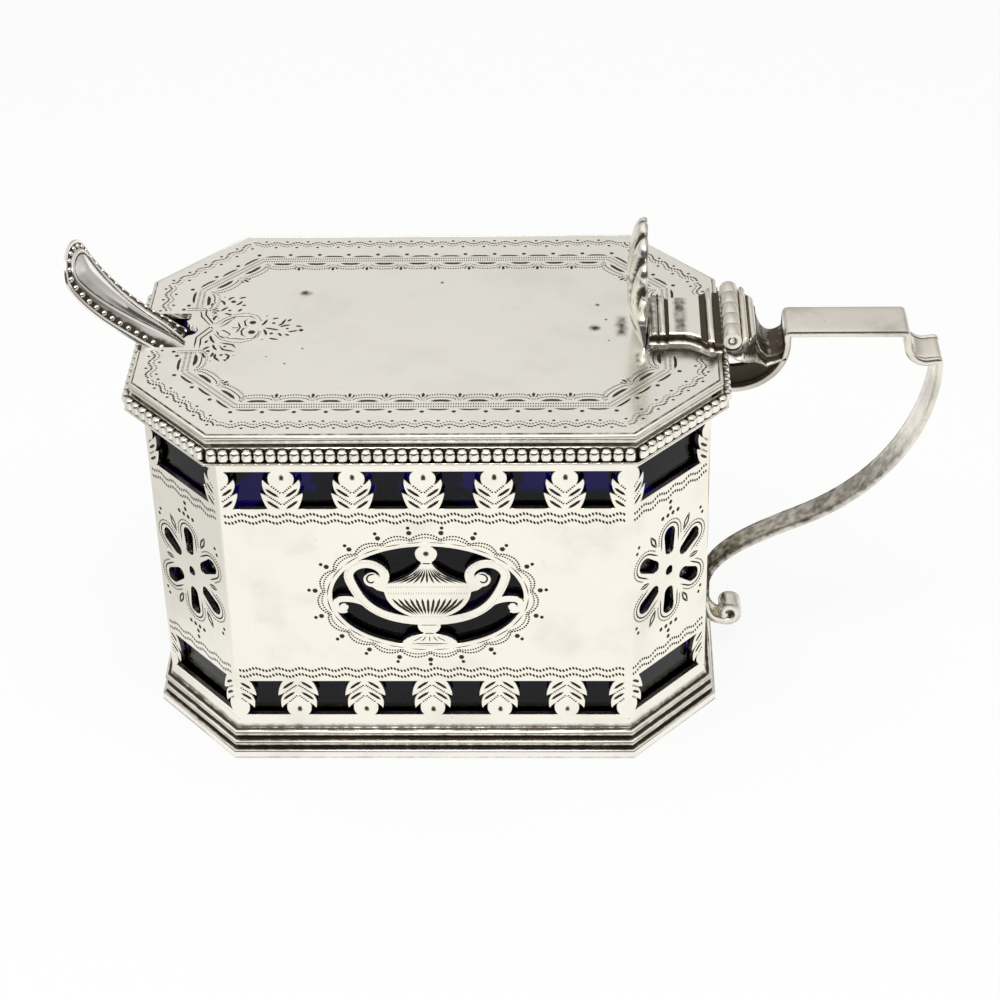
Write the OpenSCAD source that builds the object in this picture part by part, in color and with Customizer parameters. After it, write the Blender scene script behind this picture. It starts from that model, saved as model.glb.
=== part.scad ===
// Pierced mustard pot with cut corners, a hinged lid, a strap handle, a glass liner and a spoon.
// Millimetres. X runs along the pot towards the handle, Y away from the viewer, Z up.
// The origin is at the middle of the flat base, on the table.

/* [Body] */
// Length of the pierced wall along X
wall_length = 84; // [74:0.5:100]
// Width of the pierced wall along Y
wall_width = 55; // [48:0.5:66]
// Length that each cut corner takes off a long side
corner_x = 12; // [10:0.25:14]
// Length that each cut corner takes off an end
corner_y = 13.3; // [11:0.25:15]
// Thickness of the wall's sheet
wall_thickness = 0.8; // [0.6:0.05:1.2]
// Height of the wall's upper edge, on which the lid rests
body_height = 58.6; // [52:0.1:68]
// Thickness of the floor plate
floor_thickness = 0.9; // [0.7:0.1:2]

/* [Foot and rim] */
// Height of the reeded part of the foot
foot_height = 4.75; // [4:0.05:6]
// How far the foot stands out from the wall
foot_reach = 1.85; // [1.4:0.05:2.4]
// Height of the hollow sweep from the foot up to the wall
foot_sweep = 1.6; // [0.8:0.1:2.2]
// Distance from the wall's upper edge down to the top of the bead strip
rim_drop = 1.1; // [0.8:0.05:1.4]
// How far the strip stands out behind the beads
rim_backing = 1.6; // [1:0.05:2]
// How far the fillet below the beads stands out
rim_fillet_reach = 2.5; // [2:0.05:2.8]
// Thickness of the fillet below the beads
rim_fillet = 0.4; // [0.3:0.05:0.7]
// Radius of one bead
bead_radius = 1; // [0.7:0.05:1.2]
// How far a bead's centre stands out from the strip
bead_rise = 0.3; // [0.1:0.05:0.5]
// Target distance between two beads
bead_pitch = 1.68; // [1.4:0.02:2.2]
// Gap between two beads, and between bead and fillet
bead_gap = 0.2; // [0.1:0.02:0.3]

/* [Piercing] */
// Height of each pierced band
band_height = 6.6; // [5:0.1:8]
// Plain height between the foot and the lower band
lower_plain = 2.45; // [1.8:0.05:4]
// Plain height between the upper band and the wall's upper edge
upper_plain = 6.3; // [5.6:0.05:7]
// Half width of a leaf across its lower lobes
leaf_half = 3.05; // [2.4:0.05:3.4]
// Radius of the bud at a leaf's tip
bud_radius = 1.85; // [1.4:0.05:2]
// Depth of the bud's centre below the edge of its band
bud_drop = 1.35; // [1:0.05:1.6]
// Openings between leaves along a long side
long_side_openings = 6; // [4:1:7]
// Half width left solid between the leaves behind the handle
handle_land = 2; // [1.5:0.1:3]
// Half length of the oval opening
oval_x = 14.3; // [12:0.1:16]
// Half height of the oval opening
oval_z = 9.3; // [8:0.1:11]
// Distance from a flower's middle to the outer end of a petal
petal_outer = 8; // [6.5:0.1:8.5]
// Distance from a flower's middle to the inner end of a petal
petal_inner = 3; // [2.4:0.1:3.6]
// Half width of a petal at its outer end
petal_half = 1.3; // [0.8:0.05:1.4]
// Tilt of the four slanting petals from the level
petal_tilt = 34; // [28:1:40]
// Radius of the hole in a flower's middle
flower_eye = 0.85; // [0.6:0.05:1]
// Radius that the saw leaves in a corner
saw_radius = 0.12; // [0.08:0.01:0.2]

/* [Lid] */
// Thickness of the lid's plate
lid_thickness = 0.9; // [0.7:0.1:1.2]
// How far the lid's edge stands out past the wall
lid_reach = 1.6; // [1.2:0.05:1.8]
// Width of the reeded wire round the lid
edge_wire = 0.7; // [0.5:0.05:1]
// Height of that wire, down from the lid's top
edge_height = 1.4; // [1.2:0.1:1.6]
// Depth of the flange under the lid
bezel_depth = 2.6; // [2:0.1:3]
// Thickness of that flange
bezel_thickness = 0.9; // [0.7:0.1:1.2]
// Gap between that flange and the wall
bezel_clearance = 0.4; // [0.3:0.05:0.8]
// Half width of the spoon notch
notch_half = 4.9; // [4.5:0.1:5.5]
// Length of the notch from the lid's edge to its shoulders
notch_length = 7.1; // [6.6:0.1:7.6]
// Radius of the round end of the notch
notch_end = 1.5; // [1.2:0.1:2]
// Radius of the corners at the notch's mouth
notch_mouth = 1.8; // [1:0.1:2.2]

/* [Hinge] */
// Height of the hinge axis above the lid's top
hinge_rise = 2.3; // [2.2:0.05:2.6]
// Distance of the hinge axis past the lid's edge
hinge_past_lid = 1.55; // [1.4:0.05:2]
// Length of the whole hinge
hinge_length = 15.4; // [13:0.1:17]
// Outer radius of a knuckle
knuckle_radius = 1.35; // [1.2:0.05:1.5]
// Radius of the pin
pin_radius = 0.65; // [0.5:0.05:0.8]
// Running clearance of the lid's knuckles on the pin
pin_clearance = 0.05; // [0.03:0.01:0.08]
// Gap between two knuckles, and past a knuckle that turns
knuckle_gap = 0.1; // [0.06:0.02:0.2]
// Clearance between a leaf and the other side's knuckles
leaf_clearance = 0.3; // [0.2:0.05:0.4]
// Height of the lid's hinge leaf
leaf_height = 2.6; // [2.2:0.1:2.9]
// Half width of that leaf at the shell
leaf_narrow = 5.7; // [5:0.1:6.5]
// Length of the flare where that leaf widens to the hinge
leaf_flare = 4; // [3:0.1:5]
// Length of that leaf from the shell to the hinge axis
leaf_length = 12.15; // [11:0.05:14]
// Depth of the hollow in the fixed leaf, below the thumb rest
hollow_drop = 3.9; // [3.4:0.1:4.4]
// Distance of that hollow from the thumb rest
hollow_back = 1.7; // [1.4:0.1:2]

/* [Thumbpiece] */
// Height of the shell above the lid
shell_height = 17.8; // [14:0.1:22]
// Half width of the shell at its widest
shell_half = 8.2; // [7:0.1:10]
// Half width of the shell's foot
shell_foot_half = 5.7; // [5:0.1:6.5]
// Thickness of the shell
shell_thickness = 1.5; // [1.2:0.1:2]
// How far the shell is cupped towards the middle of the lid
shell_cup = 1.35; // [0.8:0.05:2]
// Number of ribs on the shell
shell_ribs = 11; // [7:2:13]
// Height of a rib
rib_height = 0.3; // [0.2:0.05:0.4]

/* [Handle] */
// Thickness of the strap
strap_thickness = 1.15; // [0.8:0.05:1.3]
// Half width of the thumb rest
rest_half = 3.75; // [3:0.05:4.4]
// Half width of the strap halfway down
strap_half = 2.5; // [2:0.05:3.2]
// Half width of the strap at its tail
tail_half = 1.95; // [1.6:0.05:2.4]
// Height of the thumb rest's top above the lid's top
rest_rise = 1.5; // [1:0.1:2.5]
// Length of the thumb rest
rest_length = 18.8; // [15:0.1:22]
// Distance of the thumb rest's inner end past the hinge axis
rest_past_hinge = 7.85; // [7.4:0.05:9]
// Radius of the bracket's curve under the hinge, to the strap's middle
bracket_radius = 8.1; // [7.5:0.1:8.6]
// Drop from the thumb rest to the shoulder
shoulder_drop = 4.8; // [4:0.1:6]
// Length of the shoulder
shoulder_length = 5.2; // [5:0.1:7]
// Radius of the hollow between thumb rest and shoulder
shoulder_hollow = 2.7; // [2:0.1:3.2]
// Height at which the strap first meets the wall
tail_top = 13.5; // [12.5:0.1:15]
// Height at which the tail leaves the wall again
tail_bottom = 10; // [9:0.1:11]
// Radius of the rolled tail, to the strap's middle
roll_radius = 1.6; // [1.5:0.05:1.9]
// Distance of the roll's middle from the wall
roll_reach = 4.2; // [4:0.1:5]
// Height of the roll's middle
roll_z = 6.9; // [6.5:0.1:7.5]

/* [Liner] */
// Gap between the liner and the wall
liner_clearance = 0.5; // [0.35:0.05:1]
// Thickness of the liner's wall
liner_wall = 2; // [1.5:0.1:2.6]
// Thickness of the liner's floor
liner_floor = 2.5; // [2:0.1:4]
// Free height between the liner and the flange under the lid
liner_play = 0.6; // [0.4:0.1:1.5]

/* [Spoon] */
// Height of the stem's middle where it passes the wall
spoon_over_wall = 1.7; // [1.5:0.1:2.5]
// Clearance of the bowl above the liner's floor
bowl_clearance = 0.3; // [0.2:0.05:0.5]
// Gap between the bowl's tip and the liner's end
bowl_end_gap = 4; // [3:0.1:6]
// Length of the bowl
bowl_length = 21; // [18:0.5:24]
// Half width of the bowl
bowl_half = 8.5; // [7:0.1:9.5]
// Depth of the bowl
bowl_depth = 5; // [4:0.1:6]
// Thickness of the bowl and of the handle's end
spoon_thickness = 0.9; // [0.7:0.05:1.2]
// Half width of the stem
stem_half = 1.5; // [1.2:0.1:2]
// Half width of the handle at its end
spoon_end_half = 5.2; // [4.4:0.1:6]
// Half width of the handle where it passes the lid's edge
spoon_neck_half = 4.3; // [3:0.1:4.4]
// How far the handle's end reaches past the wall
spoon_reach = 11; // [9:0.1:13]
// How far the handle's end rises above the place where it passes the wall
spoon_rise = 14; // [12:0.1:16]
// Turn of the handle about its own length
spoon_turn = 8; // [0:1:10]

/* [Hidden] */
$fn = 64;

silver = [0.80, 0.78, 0.74];
dark_silver = [0.62, 0.60, 0.56];
cobalt = [0.04, 0.05, 0.26, 0.9];

// How far a cutting body runs past the face that it cuts
past = 1;
half_l = wall_length / 2;
half_w = wall_width / 2;
corner_normal = [corner_y, corner_x] / norm([corner_x, corner_y]);
corner_face = corner_normal * [half_l - corner_x, half_w];

lid_top = body_height + lid_thickness;
rim_top = body_height - rim_drop;
rim_foot = rim_top - 2 * bead_radius - bead_gap - rim_fillet;
bead_z = rim_top - bead_radius;
upper_band = body_height - upper_plain - band_height;
lower_band = foot_height + lower_plain;
picture_z = (lower_band + band_height + upper_band) / 2;

liner_out = -(wall_thickness + liner_clearance);
liner_in = liner_out - liner_wall;
liner_top = body_height - bezel_depth - liner_play;
bezel_out = -(wall_thickness + bezel_clearance);

hinge_x = half_l + lid_reach + hinge_past_lid;
hinge_z = lid_top + hinge_rise;
knuckle_count = 5;
knuckle_step = hinge_length / knuckle_count;

shell_x = hinge_x - leaf_length;
rest_top = lid_top + rest_rise;
rest_x = hinge_x + rest_past_hinge;

// General shapes

function unit(v) = v / norm(v);
function left_of(v) = [-v.y, v.x];
function mix(a, b, t) = a + (b - a) * t;
function smooth(t) = t * t * (3 - 2 * t);
function clamp(t) = max(0, min(1, t));

// Quadratic and cubic curves and an arc; the two curves leave out their last point
function bend(a, b, c, n) = [for (i = [0 : n - 1]) let (t = i / n)
    (1 - t) * (1 - t) * a + 2 * t * (1 - t) * b + t * t * c];
function sweep(a, b, c, d, n) = [for (i = [0 : n - 1]) let (t = i / n, u = 1 - t)
    u * u * u * a + 3 * u * u * t * b + 3 * u * t * t * c + t * t * t * d];
function arc(c, r, a0, a1, n) = [for (i = [0 : n]) let (a = mix(a0, a1, i / n)) c + r * [cos(a), sin(a)]];

// Outline of a band of one thickness along a path, with mitred corners
function side_of(path, i) =
    let (j = max(i, 1), k = min(i, len(path) - 2),
        before = left_of(unit(path[j] - path[j - 1])),
        after = left_of(unit(path[k + 1] - path[k])),
        middle = unit(before + after))
    middle / (middle * before);
function band(path, t) = let (n = len(path)) concat(
    [for (i = [0 : n - 1]) path[i] + side_of(path, i) * t / 2],
    [for (i = [n - 1 : -1 : 0]) path[i] - side_of(path, i) * t / 2]);

// The wall's plan, moved outwards by d, from the front left corner anticlockwise
function corner_at_x(d) = (corner_face + d - corner_normal.y * (half_w + d)) / corner_normal.x;
function corner_at_y(d) = (corner_face + d - corner_normal.x * (half_l + d)) / corner_normal.y;
function plan(d) = let (x = corner_at_x(d), y = corner_at_y(d), a = half_l + d, b = half_w + d)
    [[-x, -b], [x, -b], [a, -y], [a, y], [x, b], [-x, b], [-a, y], [-a, -y]];
function side_length(i, d) = norm(plan(d)[(i + 1) % 8] - plan(d)[i]);

module prism(d, z0, z1) {
    translate([0, 0, z0]) linear_extrude(z1 - z0) polygon(plan(d));
}

// Places a shape on side i of the plan at d: x along the side, y up, z outwards
module on_side(i, d = 0) {
    from = plan(d)[i];
    to = plan(d)[(i + 1) % 8];
    along = to - from;
    translate((from + to) / 2) rotate([0, 0, atan2(along.y, along.x)]) rotate([90, 0, 0]) children();
}

// Closed ring round the plan with a section of [distance out, height] points, listed upwards outside
module plan_ring(section) {
    n = len(section);
    points = [for (p = section) for (q = plan(p[0])) [q.x, q.y, p[1]]];
    faces = [for (k = [0 : n - 1]) for (i = [0 : 7])
        [k * 8 + i, (k + 1) % n * 8 + i, (k + 1) % n * 8 + (i + 1) % 8, k * 8 + (i + 1) % 8]];
    polyhedron(points, faces, convexity = 6);
}

// Solid through a row of closed rings that all have as many points
module loft(rings) {
    n = len(rings[0]);
    last = len(rings) - 1;
    points = [for (ring = rings) for (p = ring) p];
    sides = [for (k = [0 : last - 1]) for (i = [0 : n - 1])
        let (j = (i + 1) % n, a = k * n + i, b = k * n + j, c = (k + 1) * n + j, d = (k + 1) * n + i)
        each [[a, b, c], [a, c, d]]];
    // An end is two sheets that face each other, so it is closed strip by strip
    half = n / 2;
    function cap(base) = [for (i = [0 : half - 2])
        let (a = base + i, b = base + i + 1, c = base + n - 2 - i, d = base + n - 1 - i)
        each [[a, c, b], [a, d, c]]];
    first_cap = cap(0);
    last_cap = [for (f = cap(last * n)) [f[2], f[1], f[0]]];
    polyhedron(points, concat(sides, first_cap, last_cap), convexity = 8);
}

// Extrudes an outline drawn in X and Z to both sides of the middle plane
module across(half) {
    rotate([90, 0, 0]) linear_extrude(2 * half, center = true) children();
}

// Piercing

// Place on a leaf as shares of its half width and its height
function on_leaf(x, z) = [x * leaf_half, z * band_height];

// One edge of a leaf: [half width, height] from its foot, over two lobes that point up, to its bud
leaf_edge = concat(
    bend(on_leaf(0.8, 0), on_leaf(1.06, 0.16), on_leaf(1, 0.42), 3),
    bend(on_leaf(1, 0.42), on_leaf(0.78, 0.34), on_leaf(0.64, 0.35), 2),
    bend(on_leaf(0.64, 0.35), on_leaf(1.12, 0.5), on_leaf(0.84, 0.75), 3),
    bend(on_leaf(0.84, 0.75), on_leaf(0.68, 0.65), on_leaf(0.5, 0.635), 2),
    arc([0, band_height - bud_drop], bud_radius, -35, asin(bud_drop / bud_radius), 5));

// Opening between the leaves at s0 and s1; the buds point up or hang down
module leaf_opening(s0, s1, z, up) {
    edge = [for (p = leaf_edge) [p.x, z + (up ? p.y : band_height - p.y)]];
    n = len(edge);
    polygon(concat([for (p = edge) [s0 + p.x, p.y]],
        [for (i = [n - 1 : -1 : 0]) [s1 - edge[i].x, edge[i].y]]));
}

// Both bands of openings on a side, given as [from leaf, to leaf] pairs
module leaf_bands(spans) {
    for (span = spans) {
        leaf_opening(span[0], span[1], upper_band, true);
        leaf_opening(span[0], span[1], lower_band, false);
    }
}

function even_spans(length, n) = let (step = length / n)
    [for (i = [0 : n - 1]) [i * step - length / 2, (i + 1) * step - length / 2]];

module flower() {
    inner_half = 0.8 * petal_half;
    translate([0, picture_z]) {
        circle(flower_eye);
        for (a = [90, 270, petal_tilt, -petal_tilt, 180 + petal_tilt, 180 - petal_tilt])
            rotate(a) polygon(concat(
                arc([petal_outer - petal_half, 0], petal_half, -90, 90, 8),
                arc([petal_inner + inner_half, 0], inner_half, 90, 270, 8)));
    }
}

// Covered urn with scroll arms that stands in the oval, drawn as shares of the oval's half sizes
function in_oval(x, z) = [x * oval_x, z * oval_z];

// Part of an ellipse round a middle, between two angles
function round_in_oval(middle, reach, from, to, n) =
    [for (p = arc([0, 0], 1, from, to, n)) in_oval(middle.x + reach.x * p.x, middle.y + reach.y * p.y)];

module urn() {
    ball = 0.17 * oval_z;
    arm = 0.15 * oval_z;
    tendril = 0.075 * oval_z;
    scroll = [0.585, 0.44];
    eye = [0.545, 0.42];
    curl = in_oval(0.895, -0.16);
    neck = in_oval(0.05, 0.66);
    roof = in_oval(0.41, 0.25);
    bowl = in_oval(0.455, 0.19);
    waist = in_oval(0.2, -0.38);
    knob = in_oval(0.03, -0.59);
    stem = in_oval(0.07, -0.76);
    foot = in_oval(0.29, -0.98);
    translate([0, 1.01 * oval_z - ball]) circle(ball, $fn = 24);
    for (m = [0, 1]) mirror([m, 0]) {
        polygon(concat([in_oval(0, 0.72), in_oval(0.065, 0.72)],
            bend(neck, in_oval(0.15, 0.38), roof, 6), [roof],
            bend(bowl, in_oval(0.455, -0.2), waist, 6), [waist],
            arc(knob, 0.135 * oval_z, 70, -70, 5),
            bend(stem, in_oval(0.29, -0.8), foot, 5), [foot, [0, foot.y]]));
        polygon(band(concat(
            sweep(in_oval(0, -0.43), in_oval(0.5, -0.5), in_oval(0.88, -0.2), in_oval(0.77, 0.36), 9),
            round_in_oval(scroll, [0.187, 0.265], -15, 205, 12)), arm));
        polygon(round_in_oval(eye, [0.085, 0.128], 0, 342, 19));
        polygon(band([in_oval(0.54, 0.34), in_oval(0.48, 0.25), in_oval(0.42, 0.2)], 0.12 * oval_z));
        polygon(band(concat(
            bend(in_oval(0.73, -0.215), in_oval(0.8, -0.045), in_oval(0.88, -0.045), 4),
            arc(curl, 0.113 * oval_z, 90, -120, 7)), tendril));
    }
}

module oval_picture() {
    translate([0, picture_z]) offset(r = saw_radius, $fn = 12) offset(delta = -saw_radius) difference() {
        polygon([for (a = [0 : 6 : 354]) [oval_x * cos(a), oval_z * sin(a)]]);
        urn();
    }
}

module side_openings(i) {
    length = side_length(i, 0);
    if (i % 4 == 0) {
        leaf_bands(even_spans(length, long_side_openings));
        oval_picture();
    } else if (i == 2) {
        leaf_bands([[-length / 2, -handle_land], [handle_land, length / 2]]);
    } else {
        leaf_bands(even_spans(length, i == 6 ? 2 : 1));
        flower();
    }
}

// Body

module floor_plate() {
    color(silver) prism(-wall_thickness, 0, floor_thickness);
}

module pierced_wall() {
    color(silver) difference() {
        prism(0, 0, body_height);
        prism(-wall_thickness, -past, body_height + past);
        for (i = [0 : 7]) on_side(i) translate([0, 0, -wall_thickness - past])
            linear_extrude(wall_thickness + 2 * past) side_openings(i);
    }
}

module foot_moulding() {
    reed = 0.45;
    upper = [foot_reach - 0.65, foot_height - reed];
    lower = [foot_reach - 0.4, foot_height - 2.2];
    toe = 1.5;
    toe_round = 0.3;
    sweep_top = [0, foot_height + foot_sweep];
    color(silver) plan_ring(concat(
        [[0, 0], [foot_reach, 0], [foot_reach, toe - toe_round]],
        arc([foot_reach, toe] - [toe_round, toe_round], toe_round, 30, 90, 3),
        [[lower.x - reed, toe + 0.05]],
        arc(lower - [reed, 0], reed, -60, 70, 4),
        [[upper.x - reed - 0.1, lower.y + 0.7]],
        arc(upper - [reed, 0], reed, -60, 90, 5),
        bend([upper.x - reed - 0.2, foot_height + 0.05], [0.15, foot_height + 0.2], sweep_top, 4),
        [sweep_top]));
}

module rim_strip() {
    fillet_top = rim_foot + rim_fillet;
    edge = 0.1;
    color(silver) plan_ring([
        [0, rim_foot - 0.5], [rim_fillet_reach - 3 * edge, rim_foot],
        [rim_fillet_reach, rim_foot + edge], [rim_fillet_reach, fillet_top - edge],
        [rim_fillet_reach - edge, fillet_top], [rim_backing, fillet_top],
        [rim_backing, rim_top], [0, rim_top]]);
}

module rim_beads() {
    color(silver) for (i = [0 : 7]) {
        length = side_length(i, rim_backing);
        count = floor(length / bead_pitch);
        step = length / count;
        half = (step - bead_gap) / 2;
        on_side(i, rim_backing) for (k = [0 : count - 1])
            translate([(k + 0.5) * step - length / 2, bead_z, 0]) intersection() {
                translate([0, 0, bead_rise]) sphere(bead_radius);
                translate([-half, -2 * bead_radius, 0])
                    cube([2 * half, 4 * bead_radius, 3 * bead_radius]);
            }
    }
}

// Handle

bracket_c = [rest_x + strap_thickness / 2 - bracket_radius, rest_top - 2.2];
shoulder_z = rest_top - shoulder_drop - strap_thickness / 2;
rest_end = rest_x + rest_length;
hollow_c = [rest_end + shoulder_hollow, shoulder_z + shoulder_hollow];
outer_x = rest_end + shoulder_length - strap_thickness / 2;
roll_c = [half_l + roll_reach, roll_z];
strap_in = half_l + strap_thickness / 2;
strap_middle = mix(tail_top, shoulder_z, 0.5);
sweep_end = [mix(half_l, outer_x, 0.47), mix(tail_top, shoulder_z, 0.285)];

// Middle line of the strap, from the wall under the hinge round to the rolled tail
strap_path = concat(
    [[half_l, bracket_c.y - bracket_radius]],
    arc(bracket_c, bracket_radius, -90, 0, 10),
    [[rest_x + strap_thickness / 2, rest_top - strap_thickness / 2],
        [rest_end - strap_thickness / 2, rest_top - strap_thickness / 2]],
    arc(hollow_c, shoulder_hollow + strap_thickness / 4, 190, 270, 6),
    [[outer_x, shoulder_z]],
    sweep([outer_x, shoulder_z - 1], [outer_x + 0.3, mix(shoulder_z, tail_top, 0.3)],
        sweep_end + [11.8, 5.9], sweep_end, 12),
    sweep(sweep_end, sweep_end - [5.5, 2.75], [strap_in + 1.2, tail_top + 5.8], [strap_in, tail_top], 8),
    [[strap_in, tail_top]],
    sweep([strap_in, tail_bottom], [strap_in, roll_z - 0.9],
        roll_c - [roll_radius + 0.5, roll_radius - 0.2], roll_c - [0, roll_radius], 6),
    arc(roll_c, roll_radius, -90, 120, 9));

// The tail is rolled up tight, so narrow crevices in the roll are closed
module strap_outline() {
    crevice = 0.1;
    offset(delta = -crevice) offset(delta = crevice) {
        polygon(band(strap_path, strap_thickness));
        translate(roll_c) circle(roll_radius);
    }
}

module handle_strap() {
    color(dark_silver) intersection() {
        across(rest_half) strap_outline();
        // The strap tapers from the shoulder down to its tail
        translate([half_l, 0, 0]) rotate([90, 0, 90]) linear_extrude(outer_x)
            polygon([
                [-tail_half, 0], [tail_half, 0], [tail_half, tail_top], [strap_half, strap_middle],
                [rest_half, shoulder_z], [rest_half, rest_top], [-rest_half, rest_top],
                [-rest_half, shoulder_z], [-strap_half, strap_middle], [-tail_half, tail_top]]);
    }
}

// Hinge

// Runs along the hinge axis over knuckle k, longer by extra at each end
module over_knuckle(k, radius, extra) {
    translate([hinge_x, (k - (knuckle_count - 1) / 2) * knuckle_step, hinge_z]) rotate([90, 0, 0])
        cylinder(h = knuckle_step - knuckle_gap + 2 * extra, r = radius, center = true);
}

module knuckles(first, bore) {
    difference() {
        for (k = [first : 2 : knuckle_count - 1]) over_knuckle(k, knuckle_radius, 0);
        translate([hinge_x, 0, hinge_z]) rotate([90, 0, 0])
            cylinder(h = hinge_length + past, r = bore, center = true);
    }
}

// Seats a leaf on its own knuckles, from the first, and clears the others
module hinge_cut(first) {
    for (k = [0 : knuckle_count - 1])
        if (k % 2 == first) over_knuckle(k, knuckle_radius, knuckle_gap);
        else over_knuckle(k, knuckle_radius + leaf_clearance, knuckle_gap);
}

module body_knuckles() {
    color(silver) knuckles(1, pin_radius);
}

module lid_knuckles() {
    color(silver) knuckles(0, pin_radius + pin_clearance);
}

module hinge_pin() {
    color(dark_silver) translate([hinge_x, 0, hinge_z]) rotate([90, 0, 0])
        cylinder(h = hinge_length, r = pin_radius, center = true);
}

// Fixed leaf: two reeds, then a hollow that sweeps down to the strap
module hinge_block() {
    valley = [rest_x - hollow_back, rest_top - hollow_drop];
    plate = 1;
    reed = 0.55;
    x0 = hinge_x + 0.2;
    x1 = rest_x + strap_thickness / 2;
    belly = valley - [0.7, 2.1];
    chin = [x0 + 0.55, hinge_z - 3.3];
    root = [x1, valley.y + 1.4];
    block_half = hinge_length / 2 - knuckle_gap;
    color(dark_silver) difference() {
        intersection() {
            across(hinge_length / 2) polygon(concat(
                [[x0, hinge_z + 0.4], [x0 + 1.2, hinge_z + 0.4]],
                arc([x0 + 1.75, hinge_z], reed, 180, 20, 4),
                arc([x0 + 2.95, hinge_z - 0.75], reed, 160, 20, 4),
                bend([x0 + 3.7, hinge_z - 1.6], [x0 + 4.3, valley.y], valley, 5),
                bend(valley, [rest_x - 0.6, valley.y], root, 4),
                [root, [x1, valley.y - plate]],
                bend(belly, chin + [2.5, -1.3], chin, 5),
                [chin, [x0, hinge_z - 2.2]]));
            linear_extrude(rest_top + hinge_rise + past) polygon(concat(
                [[x0 - past, -block_half], [x0 + 1.6, -block_half]],
                bend([x0 + 1.8, -block_half], [x0 + 3.6, -rest_half], [valley.x, -rest_half], 5),
                [[valley.x, -rest_half], [rest_x + past, -rest_half]],
                [[rest_x + past, rest_half], [valley.x, rest_half]],
                bend([valley.x, rest_half], [x0 + 3.6, rest_half], [x0 + 1.8, block_half], 5),
                [[x0 + 1.6, block_half], [x0 - past, block_half]]));
        }
        hinge_cut(1);
        across(rest_half + past) strap_outline();
    }
}

// Lid

// Spoon notch with shouldered round end and rounded mouth, cut in from the lid's edge
module notch() {
    edge = -(half_l + lid_reach);
    end = edge + notch_length;
    cusp = 0.55 * notch_half;
    upper = concat(
        [[edge - past, notch_half + notch_mouth]],
        arc([edge + notch_mouth, notch_half + notch_mouth], notch_mouth, 180, 270, 5),
        [[end, notch_half], [end, cusp + 0.5], [end - 0.5, cusp]],
        bend([end - 0.5, cusp], [end, notch_end], [end + 0.2, notch_end], 3),
        arc([end, 0], notch_end, 80, 0, 5));
    n = len(upper);
    polygon(concat(upper, [for (i = [n - 1 : -1 : 0]) [upper[i].x, -upper[i].y]]));
}

module lid_plate() {
    color(silver) translate([0, 0, body_height]) linear_extrude(lid_thickness) difference() {
        polygon(plan(lid_reach - edge_wire));
        notch();
    }
}

module lid_edge_wire() {
    inner = lid_reach - edge_wire;
    foot = lid_top - edge_height;
    reed = 0.4;
    color(silver) difference() {
        plan_ring(concat([[inner, foot], [lid_reach - 0.2, foot], [lid_reach - 0.05, foot + 0.15],
            [lid_reach - 0.05, lid_top - 2 * reed - 0.15], [lid_reach - 0.2, lid_top - 2 * reed]],
            arc([lid_reach - reed, lid_top - reed], reed, -60, 90, 5), [[inner, lid_top]]));
        translate([0, 0, foot - past]) linear_extrude(edge_height + 2 * past) notch();
    }
}

module lid_bezel() {
    color(silver) difference() {
        prism(bezel_out, body_height - bezel_depth, body_height);
        prism(bezel_out - bezel_thickness, body_height - bezel_depth - past, body_height + past);
        translate([-half_l - past, -notch_half - past, body_height - bezel_depth - past])
            cube([notch_length + 2 * past, 2 * (notch_half + past), bezel_depth + 2 * past]);
    }
}

module lid_hinge_leaf() {
    flare_x = hinge_x - knuckle_radius - 2.3;
    wide = hinge_length / 2 - knuckle_gap;
    top = lid_top + leaf_height;
    reed = 0.5;
    color(silver) difference() {
        intersection() {
            across(wide) polygon(concat(
                [[shell_x, lid_top], [shell_x, top - reed]],
                arc([shell_x + 0.75, top - reed], reed, 180, 0, 5),
                arc([shell_x + 1.9, top - reed], reed, 180, 0, 5),
                [[shell_x + 2.8, top - 0.3], [flare_x - 0.4, top - 0.3]],
                [[flare_x - 0.1, top - 0.8], [flare_x + 0.2, top - 0.2]],
                arc([flare_x + 0.9, top - reed], reed, 150, 20, 4),
                [[flare_x + 1.7, top - 0.9], [hinge_x, top - 0.4]],
                [[hinge_x, lid_top + 0.4], [half_l + lid_reach, lid_top]]));
            linear_extrude(top + past) polygon(concat(
                [[shell_x, leaf_narrow], [shell_x, -leaf_narrow]],
                bend([flare_x - leaf_flare, -leaf_narrow], [flare_x - 1, -leaf_narrow],
                    [flare_x, -wide], 5),
                [[flare_x, -wide], [hinge_x, -wide], [hinge_x, wide], [flare_x, wide]],
                bend([flare_x, wide], [flare_x - 1, leaf_narrow],
                    [flare_x - leaf_flare, leaf_narrow], 5)));
        }
        hinge_cut(0);
    }
}

// Shell: cupped towards the lid's middle, with ribs that spread from its foot
function shell_width(h) =
    let (waist_z = 0.2 * shell_height, wide_z = 0.56 * shell_height)
    h < waist_z ? mix(shell_foot_half, 0.75 * shell_foot_half, smooth(h / waist_z))
    : h < wide_z ? mix(0.75 * shell_foot_half, shell_half, smooth((h - waist_z) / (wide_z - waist_z)))
    : shell_half * sqrt(max(0.003, 1 - pow((h - wide_z) / (shell_height - wide_z), 2)));

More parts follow.
